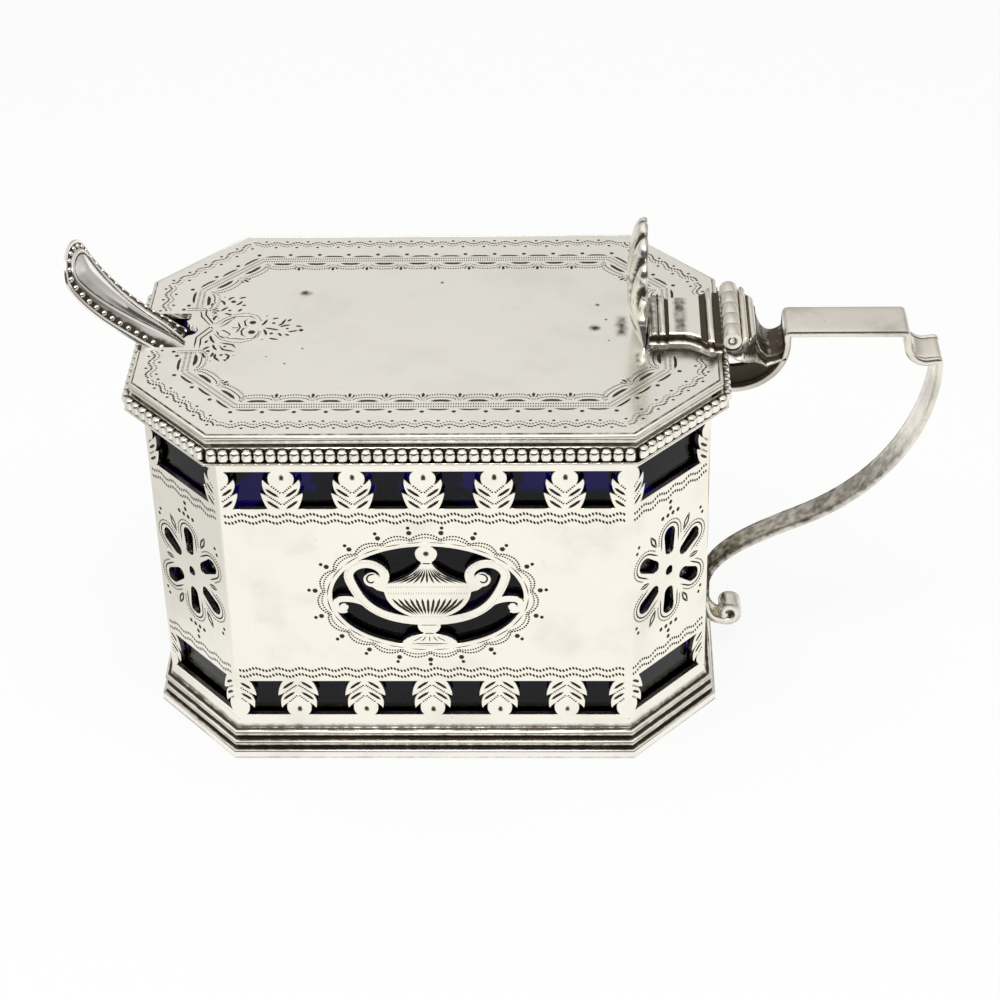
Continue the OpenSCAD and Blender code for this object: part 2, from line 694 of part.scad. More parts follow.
module thumbpiece() {
    levels = 14;
    across_n = 4 * shell_ribs;
    rib_foot = 0.28 * shell_height;
    back_x = shell_x - 0.05;
    face_x = back_x - shell_thickness + rib_height;
    rings = [for (k = [0 : levels])
        let (h = shell_height * sin(90 * k / levels), w = shell_width(h),
            cupped = shell_cup * sin(180 * clamp(0.9 * h / shell_height + 0.1)),
            ribbed = smooth(clamp((h - rib_foot) / (0.3 * shell_height))))
        concat(
            [for (i = [0 : across_n])
                let (u = 2 * i / across_n - 1,
                    spread = atan2(u * w, h + 0.15 * shell_height),
                    rib = ribbed * rib_height * (1 + cos(spread * shell_ribs * 3.3)) / 2)
                [face_x - cupped * (1 - u * u) - rib, u * w, lid_top + h]],
            [for (i = [across_n : -1 : 0])
                let (u = 2 * i / across_n - 1)
                [back_x - cupped * (1 - u * u) * ribbed, u * w, lid_top + h]])];
    color(silver) loft(rings);
}

// Liner and spoon

module glass_liner() {
    color(cobalt) difference() {
        prism(liner_out, floor_thickness, liner_top);
        prism(liner_in, floor_thickness + liner_floor, liner_top + past);
    }
}

// The spoon's middle line in X and Z: a straight stem from the bowl, then the handle's curve
over_wall = [-half_l, body_height + spoon_over_wall];
bowl_tip = [half_l + liner_in - bowl_end_gap,
    floor_thickness + liner_floor + bowl_clearance + spoon_thickness];
stem_length = norm(over_wall - bowl_tip);
stem_dir = unit(over_wall - bowl_tip);
stem_up = [stem_dir.y, -stem_dir.x];
spoon_tip = over_wall + [-spoon_reach, spoon_rise];
handle_curve = concat(
    sweep(over_wall, over_wall + 6.5 * stem_dir, spoon_tip + [1.2, -5.5], spoon_tip, 16),
    [spoon_tip]);

// Stations along the spoon: [middle point, up direction, half width, hollow depth, thickness, turn]
function bowl_station(t) =
    let (round = 1 - pow(2 * t - 1, 2), w = bowl_half * sqrt(max(0.004, round)))
    [bowl_tip + t * bowl_length * stem_dir, stem_up, max(w, t > 0.5 ? stem_half : 0),
        t > 0.9 ? 0 : bowl_depth * round, spoon_thickness, 0];
function stem_station(t) =
    let (s = mix(bowl_length, stem_length, t), opening = smooth(clamp((t - 0.55) / 0.45)))
    [bowl_tip + s * stem_dir, stem_up, mix(stem_half, spoon_neck_half, opening), 0,
        mix(1.8 * spoon_thickness, spoon_thickness, opening), spoon_turn * opening];
function handle_station(i) =
    let (n = len(handle_curve) - 1, t = i / n, round_from = 0.75,
        along = unit(handle_curve[min(i + 1, n)] - handle_curve[max(i - 1, 0)]),
        spread = mix(spoon_neck_half, spoon_end_half, smooth(clamp(t / round_from))),
        past_round = max(0, t - round_from) / (1 - round_from))
    [handle_curve[i], [along.y, -along.x], spread * sqrt(max(0.01, 1 - pow(past_round, 2))),
        0, spoon_thickness, spoon_turn];

// Closed ring round one station: the upper face, then the lower face back
function spoon_ring(station) =
    let (n = 8, middle = [station[0].x, 0, station[0].y], flat = [station[1].x, 0, station[1].y],
        half = station[2], hollow = station[3], thick = station[4], turn = station[5],
        up = flat * cos(turn) - [0, sin(turn), 0],
        wide = flat * sin(turn) + [0, cos(turn), 0])
    concat(
        [for (i = [0 : n]) let (u = 2 * i / n - 1)
            middle + wide * u * half + up * (thick / 2 * (1 - 0.5 * u * u) - hollow * (1 - u * u))],
        [for (i = [n : -1 : 0]) let (u = 2 * i / n - 1)
            middle + wide * u * half - up * (thick / 2 * (1 - 0.5 * u * u) + hollow * (1 - u * u))]);

module mustard_spoon() {
    bowl_n = 14;
    stem_n = 12;
    stations = concat(
        [for (i = [len(handle_curve) - 1 : -1 : 1]) handle_station(i)],
        [for (k = [stem_n : -1 : 1]) stem_station(k / stem_n)],
        [for (k = [bowl_n : -1 : 0]) bowl_station(k / bowl_n)]);
    color(silver) loft([for (station = stations) spoon_ring(station)]);
}

floor_plate();
pierced_wall();
foot_moulding();
rim_strip();
rim_beads();
handle_strap();
hinge_block();
body_knuckles();
hinge_pin();
lid_plate();
lid_edge_wire();
lid_bezel();
thumbpiece();
lid_hinge_leaf();
lid_knuckles();
glass_liner();
mustard_spoon();
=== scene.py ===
import math

import bmesh
import bpy
from mathutils import Matrix, Vector
from mathutils.geometry import delaunay_2d_cdt


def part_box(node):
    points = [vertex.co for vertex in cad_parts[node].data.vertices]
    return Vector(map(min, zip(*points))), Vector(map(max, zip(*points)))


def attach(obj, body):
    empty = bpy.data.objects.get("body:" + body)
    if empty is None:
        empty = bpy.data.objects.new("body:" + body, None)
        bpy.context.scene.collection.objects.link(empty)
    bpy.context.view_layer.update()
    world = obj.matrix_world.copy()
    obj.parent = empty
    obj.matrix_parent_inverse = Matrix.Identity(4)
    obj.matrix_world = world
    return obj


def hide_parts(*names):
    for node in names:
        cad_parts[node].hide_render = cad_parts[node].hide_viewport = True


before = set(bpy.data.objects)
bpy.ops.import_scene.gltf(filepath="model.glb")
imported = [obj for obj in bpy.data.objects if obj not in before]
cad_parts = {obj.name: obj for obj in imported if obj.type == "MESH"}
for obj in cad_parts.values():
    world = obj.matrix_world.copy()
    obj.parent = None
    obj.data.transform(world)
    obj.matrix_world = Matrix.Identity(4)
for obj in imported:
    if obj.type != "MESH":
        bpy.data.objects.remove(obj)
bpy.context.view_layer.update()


# Floor plate: a flat sheet of silver cut to the inside of the wall and soldered in, so that it closes
# the pot and carries the glass. Its own solid is kept and gets the dull finish of an inner face.

MM = 0.001


def maths(tree, operation, a, b):
    """Math node on two values, numbers or sockets; a sum is kept between 0 and 1."""
    node = tree.nodes.new("ShaderNodeMath")
    node.operation = operation
    node.use_clamp = operation == "ADD"
    for socket, value in zip(node.inputs, (a, b)):
        if isinstance(value, (int, float)):
            socket.default_value = value
        else:
            tree.links.new(value, socket)
    return node.outputs["Value"]


def span(tree, value, low, high, to_low=0.0, to_high=1.0):
    """Smooth step of a value between two levels."""
    node = tree.nodes.new("ShaderNodeMapRange")
    node.interpolation_type = "SMOOTHSTEP"
    for socket, number in zip(("From Min", "From Max", "To Min", "To Max"), (low, high, to_low, to_high)):
        node.inputs[socket].default_value = number
    tree.links.new(value, node.inputs["Value"])
    return node.outputs["Result"]


def worked_silver():
    """Group for worn silver: the per-point input darkens it with tarnish in cuts and with painted shade,
    tarnish lies in soft clouds, and fine scratches catch light.
    """
    group = bpy.data.node_groups.new("worked silver", "ShaderNodeTree")
    for name, kind, value in (
        ("Tarnish_and_shade", "NodeSocketFloat", 0.0),
        ("Polish", "NodeSocketColor", (0.9, 0.88, 0.84, 1)),
        ("Tarnish", "NodeSocketColor", (0.05, 0.04, 0.03, 1)),
        ("Clouds", "NodeSocketFloat", 0.3),
        ("Smoothness", "NodeSocketFloat", 0.16),
    ):
        socket = group.interface.new_socket(name, in_out="INPUT", socket_type=kind)
        socket.default_value = value
    for name, kind in (
        ("Color", "NodeSocketColor"),
        ("Roughness", "NodeSocketFloat"),
        ("Height", "NodeSocketFloat"),
    ):
        group.interface.new_socket(name, in_out="OUTPUT", socket_type=kind)
    given = group.nodes.new("NodeGroupInput")
    result = group.nodes.new("NodeGroupOutput")
    place = group.nodes.new("ShaderNodeTexCoord")

    def noise(scale, detail, stretch=(1, 1, 1)):
        turn = group.nodes.new("ShaderNodeMapping")
        turn.inputs["Scale"].default_value = stretch
        group.links.new(place.outputs["Object"], turn.inputs["Vector"])
        grain = group.nodes.new("ShaderNodeTexNoise")
        grain.inputs["Scale"].default_value = scale
        grain.inputs["Detail"].default_value = detail
        group.links.new(turn.outputs["Vector"], grain.inputs["Vector"])
        return grain.outputs["Fac"]

    def shares(a, share_a, b, share_b):
        return maths(group, "ADD", maths(group, "MULTIPLY", a, share_a), maths(group, "MULTIPLY", b, share_b))

    soft_clouds = span(group, noise(110, 5), 0.46, 0.78)
    specks = span(group, noise(900, 3), 0.66, 0.8)
    scratches = noise(260, 2, (1, 14, 14))
    dents = noise(420, 3)
    patches = span(group, noise(800, 5), 0.3, 0.7, 0.7, 1.3)
    clouded = maths(group, "MULTIPLY", shares(soft_clouds, 0.7, specks, 0.5), given.outputs["Clouds"])
    # Darkening from the per-point attribute: tarnish in engraved cuts, and painted shade in hollows, gaps and
    # undersides
    painted_shade_and_tarnish = span(group, maths(group, "MULTIPLY", given.outputs["Tarnish_and_shade"], patches), 0.05, 0.75)
    dark = maths(group, "ADD", painted_shade_and_tarnish, clouded)
    rough = shares(given.outputs["Smoothness"], 1, dark, 0.3)
    rough = maths(group, "ADD", rough, span(group, scratches, 0.5, 0.8, 0, 0.08))
    tone = group.nodes.new("ShaderNodeMix")
    tone.data_type = "RGBA"
    for source, target in (
        (dark, tone.inputs[0]),
        (given.outputs["Polish"], tone.inputs[6]),
        (given.outputs["Tarnish"], tone.inputs[7]),
        (tone.outputs[2], result.inputs["Color"]),
        (rough, result.inputs["Roughness"]),
        (shares(scratches, 0.4, dents, 0.6), result.inputs["Height"]),
    ):
        group.links.new(source, target)
    return group


silver_group = worked_silver()


def silver(name, polish, clouds, smoothness, dents, tarnish=(0.075, 0.057, 0.038, 1)):
    """A silver finish; dents is the height in metres of the hand work's slight waves."""
    finish = bpy.data.materials.new(name)
    finish.use_nodes = True
    nodes, links = finish.node_tree.nodes, finish.node_tree.links
    shader = nodes["Principled BSDF"]
    shader.inputs["Metallic"].default_value = 1
    worn = nodes.new("ShaderNodeGroup")
    worn.node_tree = silver_group
    worn.inputs["Polish"].default_value = polish
    worn.inputs["Tarnish"].default_value = tarnish
    worn.inputs["Clouds"].default_value = clouds
    worn.inputs["Smoothness"].default_value = smoothness
    # The cut attribute holds tarnish in engraving and painted shade in hollows, gaps and undersides
    cuts = nodes.new("ShaderNodeAttribute")
    cuts.attribute_name = "cut"
    bump = nodes.new("ShaderNodeBump")
    bump.inputs["Distance"].default_value = dents
    links.new(cuts.outputs["Fac"], worn.inputs["Tarnish_and_shade"])
    links.new(worn.outputs["Color"], shader.inputs["Base Color"])
    links.new(worn.outputs["Roughness"], shader.inputs["Roughness"])
    links.new(worn.outputs["Height"], bump.inputs["Height"])
    links.new(bump.outputs["Normal"], shader.inputs["Normal"])
    return finish


def finish_solid(node, finish, edge):
    """Keeps a CAD solid, softens its edges and gives it a finish."""
    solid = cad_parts[node]
    solid.data.materials.clear()
    solid.data.materials.append(finish)
    weld = solid.modifiers.new("joined corners", "WELD")
    weld.merge_threshold = 0.001 * MM
    soft = solid.modifiers.new("softened edges", "BEVEL")
    soft.width = edge * MM
    soft.segments = 2
    soft.limit_method = "ANGLE"
    soft.angle_limit = math.radians(40)


inner_silver = silver("inner silver", (0.72, 0.69, 0.64, 1), 0.5, 0.3, 0.00002)
finish_solid("floor_plate", inner_silver, 0.1)


# Pierced wall: one strip of sheet silver, engraved and pierced with a fret saw while flat, then folded
# to eight sides and soldered at a seam. The saw's edges are dressed, and tarnish stays in the cuts.

wall_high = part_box("pierced_wall")[1]
half_l = wall_high.x / MM
half_w = wall_high.y / MM
body_height = wall_high.z / MM
corner_x = 12
corner_y = 13.3
wall_sheet = 0.8
fold = 0.3
dressed_edge = 0.07
cut_margin = 1.25
band_height = 6.6
upper_band = body_height - 6.3 - band_height
lower_band = 7.2
picture_z = (lower_band + band_height + upper_band) / 2
corner_way = Vector((corner_y, corner_x)).normalized()
corner_face = corner_way.dot(Vector((half_l - corner_x, half_w)))


def plan(d):
    """Corners of the wall's plan moved outwards by d, anticlockwise from the front left."""
    a, b = half_l + d, half_w + d
    x = (corner_face + d - corner_way.y * b) / corner_way.x
    y = (corner_face + d - corner_way.x * a) / corner_way.y
    corners = ((-x, -b), (x, -b), (a, -y), (a, y), (x, b), (-x, b), (-a, y), (-a, -y))
    return [Vector(p) for p in corners]


def side_length(i, d=0):
    corners = plan(d)
    return (corners[(i + 1) % 8] - corners[i]).length


def on_side(i, s, z, out=0):
    """Point on side i: s along it from its middle, z up, out from the wall's face."""
    a, b = plan(0)[i], plan(0)[(i + 1) % 8]
    along = (b - a).normalized()
    p = (a + b) / 2 + along * s + Vector((along.y, -along.x)) * out
    return Vector((p.x, p.y, z))


def mix(a, b, t):
    return a + (b - a) * t


def smooth(t):
    t = max(0, min(1, t))
    return t * t * (3 - 2 * t)


def bend(a, b, c, n):
    """Points of a quadratic curve, its last point left out."""
    a, b, c = Vector(a), Vector(b), Vector(c)
    return [(1 - t) ** 2 * a + 2 * t * (1 - t) * b + t * t * c for t in (i / n for i in range(n))]


def sweep(a, b, c, d, n):
    """Points of a cubic curve, its last point left out."""
    a, b, c, d = Vector(a), Vector(b), Vector(c), Vector(d)
    return [(1 - t) ** 3 * a + 3 * (1 - t) ** 2 * t * b + 3 * (1 - t) * t * t * c + t ** 3 * d
            for t in (i / n for i in range(n))]


def arc(centre, radius, start, end, n):
    """Points of an arc between two angles in degrees, both ends included."""
    angles = [math.radians(mix(start, end, i / n)) for i in range(n + 1)]
    return [Vector(centre) + radius * Vector((math.cos(a), math.sin(a))) for a in angles]


def path_sides(path):
    """Mitred unit normals, to the left, at the points of an open path."""
    ways = [(b - a).normalized() for a, b in zip(path, path[1:])]
    ways = [ways[0]] + ways + [ways[-1]]
    sides = []
    for before, after in zip(ways, ways[1:]):
        left_before = Vector((-before.y, before.x))
        left_after = Vector((-after.y, after.x))
        middle = (left_before + left_after).normalized()
        sides.append(middle / max(0.3, middle.dot(left_before)))
    return sides


def band(path, width):
    """Outline of a strip of one width along a path."""
    sides = path_sides(path)
    return ([p + s * width / 2 for p, s in zip(path, sides)]
            + [p - s * width / 2 for p, s in reversed(list(zip(path, sides)))])


def stroke(path, width, depth=0.11):
    """One cut of the graver: a slender outline round a path, and the path's inner points at full depth."""
    path = [Vector(p) for p in path]
    if len(path) == 2:
        path[1:1] = [mix(path[0], path[1], share) for share in (0.25, 0.75)]
    elif len(path) == 3:
        path = [path[0], mix(path[0], path[1], 0.5), path[1], mix(path[1], path[2], 0.5), path[2]]
    inner = path[1:-1]
    across = []
    for i in range(1, len(path) - 1):
        way = (path[i + 1] - path[i - 1]).normalized()
        across.append(Vector((-way.y, way.x)) * cut_margin * width / 2)
    left = [p + a for p, a in zip(inner, across)]
    right = [p - a for p, a in zip(inner, across)]
    return [path[0], *left, path[-1], *reversed(right)], inner, depth


def pit(centre, radius, depth=0.14):
    """One tap of a small round punch."""
    return arc(centre, radius, 0, 300, 5), [Vector(centre)], depth


def steps_along(path, step):
    """Even steps along a path: (point, unit direction, distance run, number of the path's stretch)."""
    path = [Vector(p) for p in path]
    lengths = [(b - a).length for a, b in zip(path, path[1:])]
    total = sum(lengths)
    count = max(1, round(total / step))
    found = []
    for k in range(count):
        run = left = (k + 0.5) * total / count
        for stretch, (a, b, length) in enumerate(zip(path, path[1:], lengths)):
            if left <= length:
                break
            left -= length
        way = (b - a).normalized()
        found.append((a + way * left, way, run, stretch))
    return found


def wriggle(path, wave=3.45, swing=0.26, pitch=0.5, length=0.66, width=0.27, lean=-66, skip=None):
    """Wriggle work: a row of short slanting cuts that sways from side to side."""
    cuts = []
    middle_run = sum((Vector(b) - Vector(a)).length for a, b in zip(path, path[1:])) / 2
    slope = math.radians(lean)
    for point, way, run, _ in steps_along(path, pitch):
        if skip and skip(point):
            continue
        left = Vector((-way.y, way.x))
        middle = point + left * swing * math.sin(2 * math.pi * (run - middle_run) / wave)
        slant = way * math.cos(slope) + left * math.sin(slope)
        cuts.append(stroke([middle - slant * length / 2, middle + slant * length / 2], width))
    return cuts


def dotted(path, pitch, radius):
    """A row of small punched dots along a path."""
    return [pit(point, radius) for point, *_ in steps_along(path, pitch)]


def ticks(path, pitch, length, width, lean=90, skip=None):
    """A row of fine parallel cuts across a path."""
    cuts = []
    slope = math.radians(lean)
    for point, way, *_ in steps_along(path, pitch):
        if skip and skip(point):
            continue
        across = way * math.cos(slope) + Vector((-way.y, way.x)) * math.sin(slope)
        cuts.append(stroke([point - across * length / 2, point + across * length / 2], width))
    return cuts


def anticlockwise(shape):
    """The same outline, listed anticlockwise."""
    shape = [Vector(p) for p in shape]
    area = sum(p.x * q.y - q.x * p.y for p, q in zip(shape, shape[1:] + shape[:1]))
    return shape if area > 0 else shape[::-1]


def cut_sheet(outline, holes=(), kept=(), strokes=()):
    """Triangles of a flat sheet without its openings, and the depth that each point is cut to.

    A point in a hole is sawn away unless it is also in a kept outline."""
    points, edges, depths = [], [], {}

    def place(shape):
        first = len(points)
        points.extend(Vector(p) for p in shape)
        return list(range(first, len(points)))

    faces = [place(anticlockwise(shape)) for shape in (outline, *holes, *kept)]
    for rim, spine, depth in strokes:
        ring = place(rim)
        line = place(spine)
        edges += list(zip(ring, ring[1:] + ring[:1]))
        through = [ring[0], *line, ring[len(line) + 1]]
        edges += list(zip(through, through[1:]))
        for k in line:
            depths[k] = depth
    found, _, triangles, origins, _, owners = delaunay_2d_cdt(points, edges, faces, 0, 1e-5, True)
    first_kept = 1 + len(holes)

    def stands(ids):
        in_hole = any(0 < k < first_kept for k in ids)
        return 0 in ids and (not in_hole or max(ids) >= first_kept)

    solid = [tuple(t) for t, ids in zip(triangles, owners) if stands(ids)]
    cut = [max((depths.get(k, 0) for k in ids), default=0) for ids in origins]
    return found, solid, cut


def cut_tone(depth):
    """Tarnish at a depth: black nearly to the rim of a full cut, brown in a shallow stain."""
    return 45 * depth


def stain(centre, radius, tall=1, depth=0.018):
    """A spot of tarnish that the polishing left; tall is its height for its width."""
    centre = Vector(centre)
    rim = [centre + Vector((p.x, p.y * tall)) for p in arc((0, 0), radius, 0, 315, 7)]
    spread = radius * max(0, tall - 2) / 2
    heart = [centre + Vector((0, k * spread)) for k in (-1, 0, 1)] if spread else [centre]
    return rim, heart, depth


def open_edges(triangles):
    """Directed edges that only one triangle has."""
    directed = {(t[k], t[(k + 1) % 3]) for t in triangles for k in range(3)}
    return [(a, b) for a, b in directed if (b, a) not in directed]


def sawn_edges(flat, triangles, half):
    """Directed edges of a sheet's openings, without those on its outline."""
    return [(a, b) for a, b in open_edges(triangles)
            if not (abs(abs(flat[a].x) - half) < 1e-4 and abs(abs(flat[b].x) - half) < 1e-4)
            and not (abs(flat[a].y - flat[b].y) < 1e-9 and flat[a].y in (0, body_height))]


def dressed(flat, edges):
    """Points of those edges moved into their opening by the width of the dressed slope."""
    shift = {}
    for a, b in edges:
        way = (flat[b] - flat[a]).normalized()
        for k in (a, b):
            shift[k] = shift.get(k, Vector((0, 0))) + Vector((way.y, -way.x))
    return {k: flat[k] + out.normalized() * dressed_edge for k, out in shift.items()}


def make_piece(name, points, faces, body, nodes, finish, cut=None, crease=None):
    """Mesh piece in millimetres that rides on a body and stands for CAD nodes.

    cut is the tarnish and painted shade at each point; crease is the angle over which an edge stays sharp,
    and without it every face is flat."""
    mesh = bpy.data.meshes.new(name)
    mesh.from_pydata([Vector(p) * MM for p in points], [], faces)
    if cut:
        mesh.attributes.new("cut", "FLOAT", "POINT").data.foreach_set("value", cut)
    shape = bmesh.new()
    shape.from_mesh(mesh)
    bmesh.ops.remove_doubles(shape, verts=shape.verts, dist=0.0005 * MM)
    bmesh.ops.dissolve_degenerate(shape, edges=shape.edges, dist=0.0002 * MM)
    bmesh.ops.recalc_face_normals(shape, faces=shape.faces)
    shape.to_mesh(mesh)
    shape.free()
    if crease:
        mesh.polygons.foreach_set("use_smooth", [True] * len(mesh.polygons))
        mesh.set_sharp_from_angle(angle=math.radians(crease))
    piece = bpy.data.objects.new(name, mesh)
    bpy.context.scene.collection.objects.link(piece)
    mesh.materials.append(finish)
    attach(piece, body)
    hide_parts(*nodes)


leaf_half = 3.05
bud_radius = 1.85
bud_drop = 1.35


def leaf_edge():
    """One edge of a leaf: its foot, two lobes that point up and the bud at its tip: (half width, height)."""
    w, h = leaf_half, band_height
    low_tip, low_cleft = (w, 0.43 * h), (0.62 * w, 0.335 * h)
    high_tip, high_cleft = (0.86 * w, 0.79 * h), (0.5 * w, 0.635 * h)
    bud_top = math.degrees(math.asin(bud_drop / bud_radius))
    return (bend((0.7 * w, 0), (0.93 * w, 0.19 * h), low_tip, 6)
            + bend(low_tip, (0.78 * w, 0.37 * h), low_cleft, 4)
            + bend(low_cleft, (0.99 * w, 0.55 * h), high_tip, 6)
            + bend(high_tip, (0.68 * w, 0.66 * h), high_cleft, 4)
            + arc((0, h - bud_drop), bud_radius, -35, bud_top, 8))


def band_point(p, up):
    """Place in the upper band, or in the lower band, where buds hang down."""
    return Vector((p[0], upper_band + p[1] if up else lower_band + band_height - p[1]))


def leaf_openings(places):
    """Openings between neighbouring leaves, in both bands."""
    edge = leaf_edge()
    holes = []
    for s0, s1 in zip(places, places[1:]):
        for up in (True, False):
            left = [band_point((s0 + p.x, p.y), up) for p in edge]
            right = [band_point((s1 - p.x, p.y), up) for p in edge]
            holes.append(left + right[::-1])
    return holes


def within(foot, tip, reach):
    """A line from foot to tip, cut off where it runs past the fold; None if all of it does."""
    if abs(tip.x) >= reach:
        return None
    if abs(foot.x) > reach:
        foot = mix(foot, tip, (abs(foot.x) - reach) / (abs(foot.x) - abs(tip.x)))
    return [foot, tip]


def leaf_veins(places, reach):
    """Engraving of the leaves: bold cuts in the lobes, rows of fine ticks and the bud's worn spot."""
    bold_cuts = ((0.4, 0.05), (2.35, 1.6)), ((0.4, 2.1), (2.4, 3.7))
    tick_rows = ((0.1, 0.8), (2.2, 2.5)), ((0.1, 2.8), (1.5, 4.15))
    bow = 0.08
    cuts = []
    for s in places:
        for up in (True, False):
            for m in (-1, 1):
                for ends in bold_cuts + tick_rows:
                    line = within(*(band_point((s + m * x, z), up) for x, z in ends), reach)
                    if not line:
                        continue
                    if ends in bold_cuts:
                        middle = (line[0] + line[1]) / 2 + Vector((m * bow, 0))
                        cuts.append(stroke([line[0], middle, line[1]], 0.38))
                    else:
                        cuts += ticks(line, 0.36, 0.42, 0.19)
            if abs(s) < reach - 1:
                cuts.append(stain(band_point((s + 0.1, band_height - bud_drop + 0.25), up), 0.5, 1.6, 0.03))
    return cuts


oval_x = 14.3
oval_z = 9.3
scroll_x = 0.57
scroll_z = 0.34
scroll_wide = 0.086
scroll_tall = 0.135


def in_oval(x, z):
    """Place given as shares of the oval's half sizes."""
    return Vector((x * oval_x, picture_z + z * oval_z))


def urn_arm(m):
    """Middle line of one scroll arm, from under the bowl round to its rolled end; m is its side."""
    roll = [in_oval(m * (0.625 + 0.187 * p.x), 0.4 + 0.25 * p.y) for p in arc((0, 0), 1, -15, 225, 21)]
    rise = sweep(in_oval(0, -0.49), in_oval(m * 0.55, -0.5), in_oval(m * 0.723, -0.075), roll[0], 16)
    return rise + roll


def urn():
    """Outlines of the covered urn with scroll arms that is left standing in the oval."""
    arm_width, branch_width = 0.14 * oval_z, 0.1 * oval_z
    shapes = [arc(in_oval(0, 0.84), 0.17 * oval_z, 0, 345, 23)]
    for m in (-1, 1):
        def at(x, z):
            return in_oval(m * x, z)

        def round_at(x, z, wide, tall, start, end, n):
            return [at(x + wide * p.x, z + tall * p.y) for p in arc((0, 0), 1, start, end, n)]

        knob = round_at(0.03, -0.59, 0.088, 0.135, 70, -70, 7)
        roof = [at(0, 0.72), at(0.065, 0.72)] + bend(at(0.05, 0.66), at(0.15, 0.38), at(0.42, 0.25), 9)
        bowl = [at(0.42, 0.25)] + bend(at(0.455, 0.19), at(0.455, -0.2), at(0.2, -0.38), 9) + [at(0.2, -0.38)]
        foot = bend(at(0.07, -0.76), at(0.29, -0.8), at(0.29, -0.98), 6) + [at(0.29, -0.98), at(0, -0.98)]
        shapes.append(roof + bowl + knob + foot)
        shapes.append(band(urn_arm(m), arm_width))
        shapes.append(round_at(scroll_x, scroll_z, scroll_wide, scroll_tall, 0, 340, 17))
        shapes.append(band([at(0.56, 0.28), at(0.5, 0.2), at(0.42, 0.16)], arm_width))
        branch = bend(at(0.67, -0.12), at(0.77, -0.035), at(0.88, -0.045), 5)
        curl = round_at(0.895, -0.16, 0.074, 0.113, 90, -120, 9)
        shapes.append(band(branch + curl, branch_width))
        shapes.append(round_at(0.88, -0.205, 0.045, 0.07, 0, 330, 11))
    return shapes


def urn_chasing():
    """Graver work on the urn: fan flutes on the roof, hatched rows, fluted bowl, scrolls, knob and foot."""
    faint = 0.012

    def fan(count, line, width):
        """Cuts that spread evenly from side to side, with line at the outermost."""
        leans = [k / count for k in range(-count, count + 1)]
        return [stroke([in_oval(x * lean, z) for x, z in line], width) for lean in leans]

    def level_line(half, z, width):
        return stroke([in_oval(x, z) for x in (-half, 0, half)], width)

    cuts = [stain(in_oval(0, 0.85), 0.6, 1, 0.03), level_line(0.05, 0.66, 0.2)]
    cuts += fan(5, ((0.06, 0.58), (0.15, 0.43), (0.27, 0.33), (0.38, 0.26)), 0.28)
    cuts += fan(2, ((0.07, -0.79), (0.12, -0.85), (0.18, -0.9)), 0.12)
    cuts += [level_line(half, z, 0.16) for half, z in ((0.1, -0.565), (0.06, -0.735), (0.22, -0.945))]
    cuts += fan(6, ((0.38, -0.02), (0.3, -0.17), (0.15, -0.36)), 0.34)
    hatching = []
    bands = (0.43, 0.195, 0.34, 0.46), (0.42, 0.07, 0.38, 0.66), (0.17, -0.4, 0.34, 0.34)
    for half, z, pitch, length in bands:
        hatching += ticks([in_oval(-half, z), in_oval(half, z)], pitch, length, 0.13)
    for m in (-1, 1):
        line = urn_arm(m)[5:33]
        outer = [p - m * 0.36 * side for p, side in zip(line, path_sides(line))]
        hatching += ticks(outer, 0.38, 0.32, 0.14)
        coil = [(0.9 - 0.07 * k) * p for k, p in enumerate(arc((0, 0), 1, 120, -150, 9))]
        coil = [in_oval(m * (scroll_x + scroll_wide * p.x), scroll_z + scroll_tall * p.y) for p in coil]
        cuts.append(stroke(coil, 0.24))
    return cuts + [(rim, spine, faint) for rim, spine, _ in hatching]


def oval_border():
    """Plain line round the opening, then scallops of two dotted lines, with picks where they meet."""
    scallops = 19
    fine = 360
    line_out, scallop_out = 0.65, 1.5

    def ring(out, turn):
        return Vector(((oval_x + out) * math.cos(turn), picture_z + (oval_z + out) * math.sin(turn)))

    turns = [2 * math.pi * k / fine - math.pi / 2 for k in range(fine + 1)]
    runs = [0.0]
    for a, b in zip(turns, turns[1:]):
        runs.append(runs[-1] + (ring(scallop_out, b) - ring(scallop_out, a)).length)

    def turn_at(share):
        """Angle at a share of the way round, from the bottom."""
        run = share * runs[-1]
        k = max(i for i, length in enumerate(runs[:-1]) if length <= run)
        return mix(turns[k], turns[k + 1], (run - runs[k]) / (runs[k + 1] - runs[k]))

    cuts = []
    lines = 24
    for k in range(lines):
        turns_along = [turn_at((k + share) / lines) for share in (0.01, 0.34, 0.66, 0.99)]
        cuts.append(stroke([ring(line_out, turn) for turn in turns_along], 0.13))
    for k in range(scallops):
        for low, high, size in ((1.25, 2.15, 0.18), (0.98, 1.55, 0.16)):
            line = [ring(mix(low, high, math.sin(math.pi * j / 8) ** 0.8), turn_at((k + j / 8) / scallops))
                    for j in range(9)]
            cuts += dotted(line, 0.43, size)
        junction = turn_at(k / scallops)
        cuts += [pit(ring(out, junction), size) for out, size in ((2.5, 0.46), (3.4, 0.33))]
    return cuts


petal_outer = 8
petal_inner = 3
petal_half = 1.3
petal_tilt = 34
eye_radius = 0.85
petal_angles = (90, 270, petal_tilt, -petal_tilt, 180 + petal_tilt, 180 - petal_tilt)


def petal(grow, steps):
    """Outline of one petal that points along x, grown outwards."""
    inner = 0.8 * petal_half
    return (arc((petal_outer - petal_half, 0), petal_half + grow, -90, 90, steps)
            + arc((petal_inner + inner, 0), inner + grow, 90, 270, steps))


def petal_line(grow, start):
    """The same outline left open towards the flower's middle."""
    edge = petal_half + grow
    tip = petal_outer - petal_half
    halfway = mix(start, tip, 0.5)
    return ([Vector((start, -edge)), Vector((halfway, -edge))] + arc((tip, 0), edge, -90, 90, 10)
            + [Vector((halfway, edge)), Vector((start, edge))])


def in_flower(p, angle):
    c, s = math.cos(math.radians(angle)), math.sin(math.radians(angle))
    return Vector((c * p[0] - s * p[1], picture_z + s * p[0] + c * p[1]))


